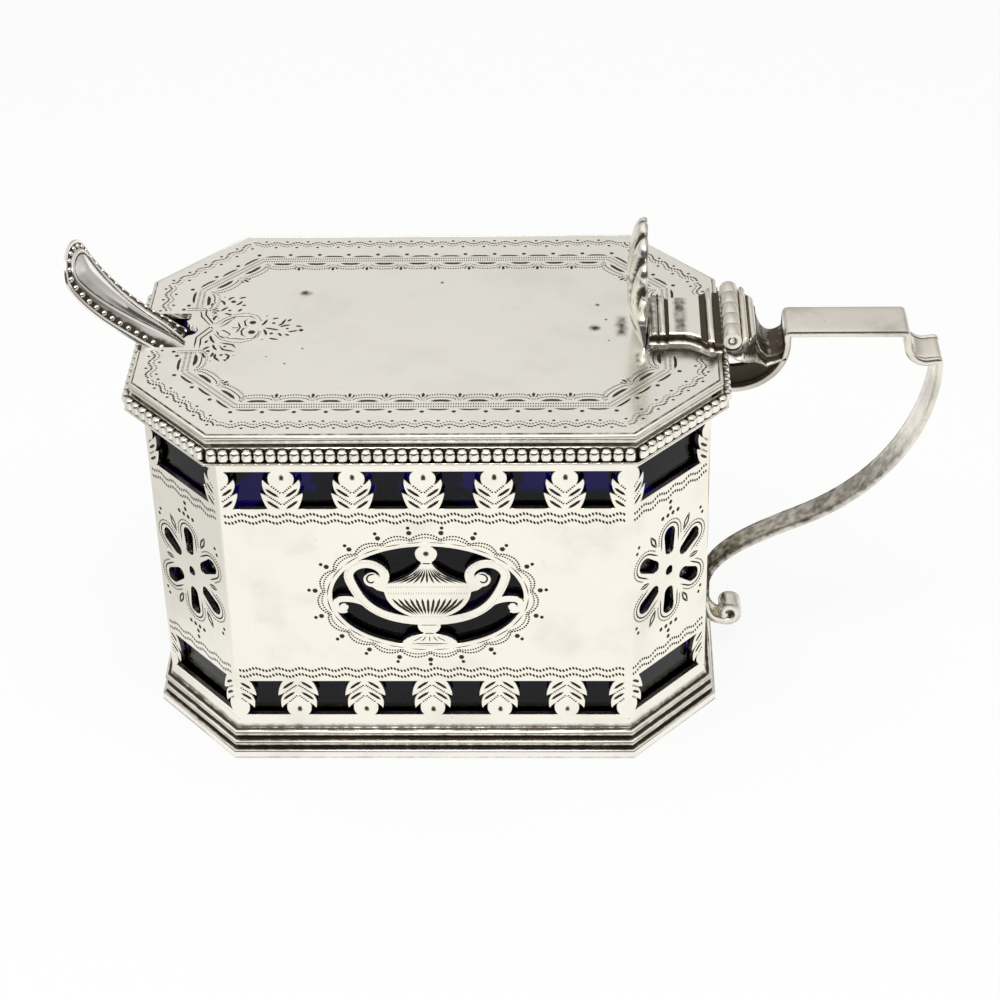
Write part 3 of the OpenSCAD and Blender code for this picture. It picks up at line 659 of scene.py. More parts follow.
def flower():
    """Six petals and an eye, sawn right through."""
    eye = [Vector((0, picture_z)) + p for p in arc((0, 0), eye_radius, 0, 345, 23)]
    return [eye] + [[in_flower(p, a) for p in petal(0, 10)] for a in petal_angles]


def leaf_mark(middle, angle, length):
    """A small leaf drawn with two bent cuts."""
    along = Vector((math.cos(math.radians(angle)), math.sin(math.radians(angle))))
    across = Vector((-along.y, along.x))
    middle = Vector(middle)
    reach, bow = along * length / 2, across * 0.12 * length
    return [stroke([middle - reach, middle + m * bow, middle + reach], 0.3) for m in (-1, 1)]


def flower_chasing(reach):
    """Lines round the petals, leaves between them, and crosses of dots above and below."""
    cuts = []
    for angle in petal_angles:
        cuts.append(stroke([in_flower(p, angle) for p in petal_line(0.6, 4.2)], 0.22))
        outer = [in_flower(p, angle) for p in petal_line(1.2, 5.6)]
        cuts += [pit(p, 0.17) for p, *_ in steps_along(outer, 0.42) if abs(p.x) < reach]
    for angle in (0, 180, 62, 118, 242, 298):
        level = angle in (0, 180)
        cuts += leaf_mark(in_flower((5.6 if level else 8.0, 0), angle), angle, 2.2 if level else 3.2)
    for side in (-1, 1):
        for row, count in ((10.3, 4), (11.4, 1), (12.5, 1)):
            for k in range(count):
                cuts.append(pit((1.15 * (k - (count - 1) / 2), picture_z + side * row), 0.42))
    for x in (-1, 1):
        for z in (-1, 1):
            for reach_x, reach_z in ((7.4, 6.9), (7.0, 7.9)):
                cuts.append(pit((x * reach_x, picture_z + z * reach_z), 0.34))
    return cuts


def wriggle_lines(half):
    """The pair of wriggle lines below the upper band and above the lower one."""
    lower_top = lower_band + band_height
    cuts = []
    for z in (upper_band - 1.1, upper_band - 2.25, lower_top + 1.05, lower_top + 2.2):
        cuts += wriggle([(-half, z), (half, z)])
    return cuts


def even_places(length, count):
    return [mix(-length / 2, length / 2, k / count) for k in range(count + 1)]


def side_work(i):
    """Holes, standing shapes and engraving of side i: long sides, handle end, other end and cut corners."""
    length = side_length(i)
    reach = length / 2 - 0.7
    if i % 4 == 0:
        inner_pitch = 10.25
        places = [-length / 2, *(k * inner_pitch for k in range(-2, 3)), length / 2]
        oval = [in_oval(math.cos(math.radians(a)), math.sin(math.radians(a))) for a in range(0, 360, 5)]
        return (leaf_openings(places) + [oval], urn(),
                leaf_veins(places, reach) + urn_chasing() + oval_border() + wriggle_lines(reach))
    if i == 2:
        left = [-length / 2, -2]
        right = [2, length / 2]
        return leaf_openings(left) + leaf_openings(right), [], wriggle_lines(reach)
    places = even_places(length, 2 if i == 6 else 1)
    return (leaf_openings(places) + flower(), [],
            leaf_veins(places, reach) + flower_chasing(reach) + wriggle_lines(reach))


def upright_sheet(half):
    """Outline of one side of the wall before it is pierced."""
    return [(-half, 0), (half, 0), (half, body_height), (-half, body_height)]


def pierced_wall():
    """Outer and inner sheets of all sides, the sawn edges between them, the folds and both rims."""
    sloped_tone, inner_tone = 0.1, 0.5
    points, faces, cut = [], [], []

    def add(p, depth=0.0):
        points.append(p)
        cut.append(depth)
        return len(points) - 1

    for i in range(8):
        half = side_length(i) / 2 - fold
        inner_half = side_length(i, -wall_sheet) / 2
        holes, kept, strokes = side_work(i)
        flat, triangles, depths = cut_sheet(upright_sheet(half), holes, kept, strokes)
        base = len(points)
        for p, depth in zip(flat, depths):
            add(on_side(i, p.x, p.y, -depth), cut_tone(depth))
        faces += [tuple(base + k for k in t) for t in triangles]

        # The sawn edge: a narrow dressed slope, then straight through to the inner sheet
        inside = sawn_edges(flat, triangles, half)
        moved = dressed(flat, inside)
        sloped = {k: add(on_side(i, p.x, p.y, -dressed_edge), sloped_tone) for k, p in moved.items()}
        sunk = {k: add(on_side(i, p.x, p.y, -wall_sheet), inner_tone) for k, p in moved.items()}
        for a, b in inside:
            faces.append((base + b, base + a, sloped[a], sloped[b]))
            faces.append((sloped[b], sloped[a], sunk[a], sunk[b]))
        flat_in, inner_triangles, _ = cut_sheet(upright_sheet(inner_half), holes, kept)
        moved_in = dressed(flat_in, sawn_edges(flat_in, inner_triangles, inner_half))
        base_in = len(points)
        for k, p in enumerate(flat_in):
            p = moved_in.get(k, p)
            add(on_side(i, p.x, p.y, -wall_sheet), inner_tone)
        faces += [tuple(base_in + k for k in reversed(t)) for t in inner_triangles]

        # Rounded fold to the next side, and the rims at the top and the foot
        j = (i + 1) % 8
        next_half = side_length(j) / 2 - fold
        crown = plan(-0.25 * fold)[j]
        ends = [add(on_side(i, half, z)) for z in (0, body_height)]
        tops = [add(Vector((crown.x, crown.y, z))) for z in (0, body_height)]
        starts = [add(on_side(j, -next_half, z)) for z in (0, body_height)]
        faces.append((ends[0], tops[0], tops[1], ends[1]))
        faces.append((tops[0], starts[0], starts[1], tops[1]))
        for z in (0, body_height):
            left, right = on_side(i, -half, z), on_side(i, half, z)
            deep_left = on_side(i, -inner_half, z, -wall_sheet)
            deep_right = on_side(i, inner_half, z, -wall_sheet)
            faces.append(tuple(add(p) for p in (left, right, deep_right, deep_left)))
            corner = Vector((crown.x, crown.y, z))
            faces.append(tuple(add(p) for p in (right, corner, deep_right)))
            faces.append(tuple(add(p) for p in (corner, on_side(j, -next_half, z), deep_right)))
    return points, faces, cut


wall_silver = silver("wall silver", (0.965, 0.935, 0.83, 1), 0.18, 0.17, 0.000012)
points, faces, cut = pierced_wall()
make_piece("pierced_wall_sheet", points, faces, "pot", ["pierced_wall"], wall_silver, cut)


# Foot moulding: a drawn wire with two reeds and a broad toe, mitred at the eight folds and soldered
# round the foot of the wall. The quirks between the reeds hold tarnish and painted shade, and the reeds'
# undersides and the low part of the sweep are darkened with painted shade.

foot_height = 4.75
foot_reach = 1.85


def ring_quads(base, count, n, closed=False):
    """Quads between count rings of n points each; closed joins the last ring to the first."""
    quads = []
    for k in range(count if closed else count - 1):
        here, there = base + k * n, base + (k + 1) % count * n
        quads += [(here + i, here + (i + 1) % n, there + (i + 1) % n, there + i) for i in range(n)]
    return quads


def plan_ring(section, tones):
    """Closed ring round the plan with a section of (distance out, height) points and a tone for each."""
    points = [Vector((q.x, q.y, p[1])) for p in section for q in plan(p[0])]
    return points, ring_quads(0, len(section), 8, True), [tone for tone in tones for q in range(8)]


def toned(*stretches):
    """Joins stretches of a section, each given with the tone of its points."""
    section, tones = [], []
    for tone, stretch in stretches:
        section += [Vector(p) for p in stretch]
        tones += [tone] * len(stretch)
    return section, tones


def foot_reed(centre, radius, start, end):
    """One reed: painted shade below, left bright above."""
    return ((0.48, arc(centre, radius, start, -20, 3)), (0.3, arc(centre, radius, 0, 25, 2)),
            (0.05, arc(centre, radius, 40, end, 2)))


bright_silver = silver("moulding silver", (0.95, 0.92, 0.84, 1), 0.2, 0.15, 0.00001)
sweep_up = bend((0.3, foot_height + 0.2), (0.1, foot_height + 0.4), (0.0, foot_height + 1.6), 6)
# Tones of the section: tarnish and painted shade in the quirks, painted shade under the reeds and low in the
# sweep
section, tones = toned(
    (0.3, [(-0.2, 0), (foot_reach - 0.1, 0), (foot_reach, 0.12)]),
    (0.0, [(foot_reach, 0.7), (foot_reach, 1.05)]),
    (0.0, arc((foot_reach - 0.4, 1.1), 0.4, 0, 40, 3)),
    (0.35, arc((foot_reach - 0.4, 1.1), 0.4, 60, 90, 2)),
    (0.95, [(foot_reach - 0.75, 1.52), (foot_reach - 0.85, 1.62)]),
    *foot_reed((foot_reach - 0.85, 2.5), 0.45, -75, 65),
    (1.0, [(foot_reach - 0.95, 3.02), (foot_reach - 1.2, 3.3)]),
    *foot_reed((foot_reach - 1.1, foot_height - 0.5), 0.48, -70, 70),
    (0.9, [(foot_reach - 1.2, foot_height + 0.02), (foot_reach - 1.3, foot_height + 0.04),
           (0.45, foot_height + 0.1)]),
    (0.42, sweep_up[:2]),
    (0.3, sweep_up[2:4]),
    (0.05, sweep_up[4:] + [(0.0, foot_height + 1.6), (-0.2, foot_height + 1.6)]))
points, faces, cut = plan_ring(section, tones)
make_piece("foot_moulding_reeds", points, faces, "pot", ["foot_moulding"], bright_silver,
           cut, 40)


# Rim strip: a flat wire with a thin fillet along its lower edge, soldered round the top of the wall.
# It backs the beads; its top is painted grey as a ledge in shade under the lid, and its face is painted black
# as the shade behind the beads.

rim_top = body_height - 1.1
rim_backing = 1.6
rim_foot = rim_top - 2.6
fillet_reach = 2.5
# Tones: the face behind the beads and the top's inner part carry painted shade under the lid
section, tones = toned(
    (0.6, [(-0.2, rim_foot - 0.5), (0, rim_foot - 0.5)]),
    (0.1, [(fillet_reach - 0.5, rim_foot - 0.06)]),
    (0.0, arc((fillet_reach - 0.2, rim_foot + 0.2), 0.2, -80, 80, 6)),
    (0.5, [(fillet_reach - 0.45, rim_foot + 0.4)]),
    (0.8, [(rim_backing, rim_foot + 0.4), (rim_backing, rim_top - 0.3)]),
    (0.2, [(rim_backing, rim_top - 0.08), (rim_backing - 0.08, rim_top)]),
    (0.3, [(0.3, rim_top)]),
    (0.8, [(0, rim_top), (-0.2, rim_top)]))
points, faces, cut = plan_ring(section, tones)
make_piece("rim_strip_fillet", points, faces, "pot", ["rim_strip"], bright_silver, cut, 40)


# Rim beads: a drawn and stamped bead wire laid on that strip, one rounded block after another.
# The beads are left bright on their domes and are painted dark towards their roots, in the gaps between them.

bead_pitch = 1.68
bead_gap = 0.08
bead_half_height = 1.0
bead_out = 1.28


def squared(angle, power):
    """Cosine and sine drawn out towards a square."""
    c, s = math.cos(angle), math.sin(angle)
    return (math.copysign(abs(c) ** power, c), math.copysign(abs(s) ** power, s))


def dome_faces(base, count, n):
    """Quads between count rings of n points each, and a fan from the last ring to the point after it."""
    top = base + count * n
    return ring_quads(base, count, n) + [(top - n + i, top - n + (i + 1) % n, top) for i in range(n)]


def rim_beads():
    """Rounded blocks of even width along every side of the strip."""
    middle_z = rim_top - bead_half_height
    # Each bead is painted dark towards its root, in the gaps between beads
    tones = (0.9, 0.55, 0.15, 0, 0, 0, 0)
    around = 20
    points, faces, cut = [], [], []
    for i in range(8):
        length = side_length(i, rim_backing)
        count = int(length / bead_pitch)
        step = length / count
        half = (step - bead_gap) / 2
        for k in range(count):
            s = (k + 0.5) * step - length / 2
            base = len(points)
            for r, tone in enumerate(tones):
                rise, level = squared(math.pi / 2 * r / len(tones), 0.75)
                for a in range(around):
                    x, z = squared(2 * math.pi * a / around, 0.58)
                    wide = half * (1 - 0.1 * z)
                    points.append(on_side(i, s + x * wide * rise, middle_z + z * bead_half_height * rise,
                                          rim_backing + bead_out * level))
                    cut.append(tone)
            points.append(on_side(i, s, middle_z, rim_backing + bead_out))
            cut.append(0)
            faces += dome_faces(base, len(tones), around)
            faces.append(tuple(base + a for a in reversed(range(around))))
    return points, faces, cut


points, faces, cut = rim_beads()
make_piece("rim_bead_row", points, faces, "pot", ["rim_beads"], bright_silver, cut, 60)


# Handle: one strap of silver, bent hot: a bracket under the hinge, a flat thumb rest, a stepped shoulder
# and a long sweep back to the wall, where its tail is rolled. Threads run along its edges.

hinge_x = half_l + 3.15
lid_top = body_height + 0.9
hinge_z = lid_top + 2.3
strap = 1.15
rest_top = lid_top + 1.5
rest_x = hinge_x + 7.85
rest_end = rest_x + 18.8
rest_half = 3.75
bracket_radius = 8.1
shoulder_hollow = 2.7
shoulder_z = rest_top - 4.8 - strap / 2
outer_x = rest_end + 5.2 - strap / 2
strap_in = half_l + strap / 2
tail_top = 13.5
roll_centre = Vector((half_l + 4.2, 6.9))
roll_radius = 1.6


def rounded(path, radius, sharp=30):
    """Path whose sharp corners are turned into short curves."""
    soft = [path[0]]
    for a, b, c in zip(path, path[1:], path[2:]):
        before, after = b - a, c - b
        if math.degrees(before.angle(after)) < sharp:
            soft.append(b)
            continue
        start = b - before.normalized() * min(radius, before.length / 2)
        end = b + after.normalized() * min(radius, after.length / 2)
        soft += bend(start, b, end, 5) + [end]
    return soft + [path[-1]]


def loft(rings):
    """Quads between closed rings of as many points each, and a cap on both ends."""
    n = len(rings[0])
    last = (len(rings) - 1) * n
    caps = [tuple(reversed(range(n))), tuple(range(last, last + n))]
    return [p for ring in rings for p in ring], ring_quads(0, len(rings), n) + caps


def strap_half_width(z):
    """The strap tapers from its shoulder down to its tail."""
    middle_half, tail_half = 2.5, 1.95
    middle = mix(tail_top, shoulder_z, 0.5)
    if z > shoulder_z:
        return rest_half
    if z > middle:
        return mix(middle_half, rest_half, (z - middle) / (shoulder_z - middle))
    return mix(tail_half, middle_half, max(0, (z - tail_top) / (middle - tail_top)))


def strap_path(bracket):
    """Middle line of the strap in (x, z), from the bracket's foot on the wall round to the rolled tail."""
    hollow = Vector((rest_end + shoulder_hollow, shoulder_z + shoulder_hollow))
    sweep_end = Vector((mix(half_l, outer_x, 0.47), mix(tail_top, shoulder_z, 0.285)))
    rest_z = rest_top - strap / 2
    path = ([Vector((half_l, bracket.y - bracket_radius))]
            + arc(bracket, bracket_radius, -90, 0, 18)
            + [Vector((rest_x + strap / 2, rest_z)), Vector((rest_end - strap / 2, rest_z))]
            + arc(hollow, shoulder_hollow + strap / 4, 190, 270, 10)
            + [Vector((outer_x, shoulder_z))]
            + sweep((outer_x, shoulder_z - 1), (outer_x + 0.3, mix(shoulder_z, tail_top, 0.3)),
                    sweep_end + Vector((11.8, 5.9)), sweep_end, 26)
            + sweep(sweep_end, sweep_end - Vector((5.5, 2.75)), (strap_in + 1.2, tail_top + 5.8),
                    (strap_in, tail_top), 16)
            + [Vector((strap_in, tail_top))]
            + sweep((strap_in, 10), (strap_in, roll_centre.y - 0.9),
                    roll_centre - Vector((roll_radius + 0.5, roll_radius - 0.2)),
                    roll_centre - Vector((0, roll_radius)), 9))
    path = rounded(path, 0.5)
    for k in range(18):
        turn = -90 + 20 * k
        wind = smooth((turn - 20) / 230)
        way = Vector((math.cos(math.radians(turn)), math.sin(math.radians(turn))))
        path.append(roll_centre + mix(roll_radius, strap / 2, wind) * way)
    return path


def handle_strap():
    """The strap's section along its path, flat on the thumb rest, stained towards the tail, and painted black
    as shade on its upper face inside the bracket.
    """
    # Across the strap: (share of the half width, height, tone); threads stand along both edges
    face = [(1.0, -0.3, 0.2), (1.0, 0.2, 0.0), (0.96, 0.46, 0.0), (0.88, 0.56, 0.0), (0.81, 0.48, 0.1),
            (0.76, 0.3, 0.95), (0.71, 0.44, 0.15), (0.55, 0.48, 0.05), (0.25, 0.5, 0.0)]
    under = [(0.94, -0.54, 0.1), (0.86, -0.5, 0.25), (0.8, -0.55, 0.1), (0.4, -0.57, 0.12)]
    profile = ([(-u, h, t) for u, h, t in reversed(under)] + [(-u, h, t) for u, h, t in face]
               + [(u, h, t) for u, h, t in reversed(face)] + under)
    upper_side = 0.25
    bracket = Vector((rest_x + strap / 2 - bracket_radius, rest_top - 2.2))
    path = strap_path(bracket)
    rings, cut = [], []
    for p, side in zip(path, path_sides(path)):
        half = strap_half_width(p.y)
        on_rest = smooth((p.x - rest_x + 0.5) / 1.5) * smooth((rest_end + 0.5 - p.x) / 1.5)
        if p.y <= rest_top - 2:
            on_rest = 0.0
        in_bracket = p.x < rest_x + strap and p.y > bracket.y - bracket_radius - strap
        height = (p.y - tail_top) / (shoulder_z - tail_top)
        stained = 0.27 * smooth((0.75 - height) / 0.3) + 0.25 * smooth((0.2 - height) / 0.16)
        if in_bracket:
            stained = 0.0
        if p.y < roll_centre.y + roll_radius + strap:
            stained = 0.1
        ring = []
        for u, h, tone in profile:
            # Painted shade: inside the bracket, under the hinge block, the upper face is painted black
            if in_bracket and h > upper_side and u < 0.9:
                tone = 1.0
            if h > upper_side:
                h = mix(h, 0.55 - 0.1 * u ** 8, on_rest)
                tone = mix(tone, 0.0, on_rest)
            ring.append(Vector((p.x + side.x * h, u * half, p.y + side.y * h)))
            cut.append(min(1, tone + stained))
        rings.append(ring)
    points, faces = loft(rings)
    return points, faces, cut


toned_silver = silver("handled silver", (0.88, 0.84, 0.745, 1), 0.55, 0.2, 0.00001, (0.09, 0.07, 0.05, 1))
points, faces, cut = handle_strap()
make_piece("handle_strap_threaded", points, faces, "pot", ["handle_strap"], toned_silver,
           cut, 38)


# Fixed hinge leaf: a cast and filed block soldered to the bracket. Two reeds lie behind the knuckles,
# then a hollow sweeps down to the strap; its sides are hollowed too, and the hollows are painted dark
# with painted shade.

knuckle_radius = 1.35
hinge_half = 7.6
to_knuckle = 0.1


def level_at(line, x):
    """Height of a line of (x, height) points at x."""
    for a, b in zip(line, line[1:]):
        if a[0] <= x <= b[0] and b[0] > a[0]:
            return mix(a[1], b[1], (x - a[0]) / (b[0] - a[0]))
    return line[0][1] if x < line[0][0] else line[-1][1]


def moulded_block(top, tones, under, width, hollow, flange):
    """Block whose top follows a line along X, with hollowed sides between a flange and the top's edge; the
    hollows carry painted shade.
    """
    rings, cut = [], []
    for p, tone in zip(top, tones):
        low, half = level_at(under, p.x), level_at(width, p.x)
        tall = p.y - low
        waist = half - hollow * min(1, tall / 2.4)
        # The waist of each side is painted dark as painted shade in the hollow
        side = [(half, low, 0.4), (half, low + flange * tall, 0.15),
                (waist, low + (flange + 0.16) * tall, 0.85), (waist, low + 0.62 * tall, 0.7),
                (half - 0.12, low + 0.86 * tall, 0.25), (half - 0.05, p.y - 0.12, tone),
                (half - 0.2, p.y, tone), (0.5 * half, p.y, tone)]
        ring = side + [(-y, z, t) for y, z, t in reversed(side)]
        rings.append([Vector((p.x, y, z)) for y, z, t in ring])
        cut += [t for y, z, t in ring]
    points, faces = loft(rings)
    return points, faces, cut


behind = hinge_x + knuckle_radius + to_knuckle
valley = Vector((rest_x - 1.7, rest_top - 3.9))
rest_edge = rest_x + strap / 2
# Tones of the top: painted shade on the tongue under the knuckles and in the hollow down to the strap,
# tarnish and painted shade in the quirks
top, tones = toned(
    (0.8, [(hinge_x - 0.85, hinge_z - 1.6), (hinge_x + 0.15, hinge_z - 1.6), (hinge_x + 0.85, hinge_z - 1.27),
           (hinge_x + 1.3, hinge_z - 0.72)]),
    (0.5, [(behind, hinge_z + 0.05)]),
    (0.0, arc((behind + 0.5, hinge_z), 0.5, 165, 25, 7)),
    (0.95, [(behind + 1.0, hinge_z - 0.3), (behind + 1.22, hinge_z - 0.42)]),
    (0.0, arc((behind + 1.7, hinge_z - 0.72), 0.55, 150, 20, 7)),
    (0.95, [(behind + 2.25, hinge_z - 1.12), (behind + 2.48, hinge_z - 1.35)]),
    (0.5, bend((behind + 2.45, hinge_z - 1.6), (behind + 3.0, valley.y), valley, 9)),
    (0.7, bend(valley, (rest_x - 0.6, valley.y), (rest_edge, valley.y + 1.4), 6)),
    (0.7, [(rest_edge, valley.y + 1.4)]))
under = [(hinge_x - 0.85, hinge_z - 2.3), (hinge_x + 0.15, hinge_z - 3.0), (hinge_x + 0.75, hinge_z - 3.4),
         (hinge_x + 1.95, hinge_z - 3.75), (hinge_x + 3.2, hinge_z - 4.85), (hinge_x + 4.4, hinge_z - 5.95),
         (valley.x - 0.7, valley.y - 2.1), (rest_edge, valley.y - 1)]
width = [(behind, hinge_half), (behind + 0.5, hinge_half), (behind + 1.2, 6.6), (behind + 2.2, 5.0),
         (behind + 3.2, 4.1), (valley.x, rest_half)]
points, faces, cut = moulded_block(top, tones, under, width, 0.55, 0.16)
make_piece("hinge_block_reeds", points, faces, "pot", ["hinge_block"], toned_silver, cut, 38)


# Body knuckles: two short tubes of silver soldered to that leaf, with a gap for the lid's middle tube
# between them. Wear keeps them bright; their solids are kept.

worn_silver = silver("worn silver", (0.88, 0.84, 0.755, 1), 0.3, 0.3, 0.000006)
finish_solid("body_knuckles", worn_silver, 0.04)


# Hinge pin: a drawn rod of silver through all five knuckles, riveted over at both ends, so that a
# dark ring shows round each rivet.

pin_radius = 0.65
pin_half = 7.7


def hinge_pin():
    """Turned rod with a rivet at each end."""
    turns = 28
    profile = [(0.02, 0.1, 0.1), (0.3, 0.04, 0.0), (0.42, 0.0, 0.0), (0.5, 0.16, 1.0), (0.56, 0.02, 0.1),
               (pin_radius, 0.1, 0.3)]
    profile = ([(r, sunk - pin_half, t) for r, sunk, t in profile]
               + [(r, pin_half - sunk, t) for r, sunk, t in reversed(profile)])
    angles = [2 * math.pi * k / turns for k in range(turns)]
    rings = [[Vector((hinge_x + r * math.cos(a), y, hinge_z + r * math.sin(a))) for a in angles]
             for r, y, _ in profile]
    points, faces = loft(rings)
    return points, faces, [t for _, _, t in profile for a in angles]


points, faces, cut = hinge_pin()
make_piece("hinge_pin_riveted", points, faces, "pot", ["hinge_pin"], toned_silver, cut, 40)


# Lid plate: flat sheet silver with a notch for the spoon, engraved all over its border with wriggle work,
# leaf cuts, hatching and scallops, and with a looped ribbon and sprays behind the notch.

lid_reach = 1.6
edge_wire = 0.7
notch_half = 4.9
notch_mouth = 1.8
notch_end = 1.5
lid_edge = -(half_l + lid_reach)
notch_x = lid_edge + 7.1


def notch_mouth_angle(x):
    """Angle on the rounded corner of the notch's mouth at a distance along X."""
    share = (x - lid_edge - notch_mouth) / notch_mouth
    return 360 - math.degrees(math.acos(max(-1, min(1, share))))


def notch_side(x):
    """One side of the notch from the mouth at x to its round end."""
    cusp = 0.55 * notch_half
    return (arc((lid_edge + notch_mouth, notch_half + notch_mouth), notch_mouth, notch_mouth_angle(x), 270, 6)
            + [Vector((notch_x, notch_half)), Vector((notch_x, cusp + 0.5)), Vector((notch_x - 0.5, cusp))]
            + bend((notch_x - 0.5, cusp), (notch_x, notch_end), (notch_x + 0.2, notch_end), 4)[1:]
            + arc((notch_x, 0), notch_end, 80, 0, 8))


def under_leaf(p):
    """True where the hinge leaf, the shell or the notch leaves no room for engraving."""
    shell_front, flare, notch_back = 31, 36.5, -34
    beside_leaf = 6.4 if p.x < flare else 8.2
    beside_notch = 5.7
    return (p.x > shell_front and abs(p.y) < beside_leaf) or (p.x < notch_back and abs(p.y) < beside_notch)


def on_lid(i, s, d):
    """Place on the lid: s along side i from its middle, d out from the wall's plan."""
    return on_side(i, s, 0, d).to_2d()


def lid_border():
    """Wriggle border by the edge, then picks, leaf cuts, hatching, leaf cuts, scallops and sprigs."""
    outer_line, inner_line = lid_reach - 2.7, lid_reach - 3.4
    wave = 3.3
    leaf_row, pick_row, scallop_row = -5.35, -4.75, -7.5
    cuts = []

    def cells(i, d, size):
        count = max(1, round(side_length(i, d) / size))
        step = side_length(i, d) / count
        return step, [(k + 0.5 - count / 2) * step for k in range(count)]

    def leaf_cut(i, x, half, levels, width):
        """A bowed cut along the border; levels are its ends', its shoulders' and its middle's places."""
        end, shoulder, middle = levels
        shape = ((-1, end), (-0.5, shoulder), (0, middle), (0.5, shoulder), (1, end))
        return stroke([on_lid(i, x + half * share, d) for share, d in shape], width)

    def scallop(i, x, step, wide, low, high):
        turns = [math.pi * k / 12 for k in range(13)]
        return [on_lid(i, x + step * wide * math.cos(t), mix(low, high, math.sin(t) ** 0.7)) for t in turns]

    for i in range(8):
        for d, length, width in ((outer_line, 0.58, 0.28), (inner_line, 0.4, 0.18)):
            half = side_length(i, d) / 2 - 0.2
            line = [on_lid(i, -half, d), on_lid(i, half, d)]
            cuts += wriggle(line, wave, 0.34, 0.44, length, width, -35, under_leaf)
        half_side = side_length(i, inner_line) / 2
        reach = int(half_side / wave)
        for k in range(-reach - 1, reach + 1):
            for d, shift in ((outer_line + 0.55, 0.25), (inner_line - 0.55, 0.75)):
                spot = on_lid(i, (k + shift) * wave, d)
                if not under_leaf(spot) and abs((k + shift) * wave) < half_side - 0.4:
                    cuts.append(pit(spot, 0.28))
        step, places = cells(i, leaf_row, 4.56)
        for x in places:
            if not under_leaf(on_lid(i, x, leaf_row)):
                cuts.append(leaf_cut(i, x, 0.4 * step, (-5.45, -5.3, -5.25), 0.36))
            between = on_lid(i, x - step / 2, pick_row)
            if not under_leaf(between):
                cuts.append(pit(between, 0.38))
        for d, lean in ((-6.05, 100), (-6.75, 80)):
            half = side_length(i, d) / 2
            cuts += ticks([on_lid(i, -half, d), on_lid(i, half, d)], 0.36, 0.5, 0.13, lean, under_leaf)
        step, places = cells(i, scallop_row, 5.2)
        for x in places:
            if under_leaf(on_lid(i, x, scallop_row)) or under_leaf(on_lid(i, x, scallop_row - 1.5)):
                continue
            cuts.append(leaf_cut(i, x, 0.32 * step, (-7.45, -7.62, -7.68), 0.5))
            cuts += ticks(scallop(i, x, step, 0.49, -7.6, -9.3), 0.4, 0.46, 0.17)
            cuts.append(stroke(scallop(i, x, step, 0.4, -7.7, -8.55), 0.15))
            if x < places[-1]:
                root = x + step / 2
                for lean in (-1, 0, 1):
                    foot = on_lid(i, root + 0.25 * lean, -8.5)
                    tip = on_lid(i, root + 0.8 * lean, -9.75 + 0.4 * abs(lean))
                    cuts.append(stroke([foot, (foot + tip) / 2, tip], 0.4))
    return cuts


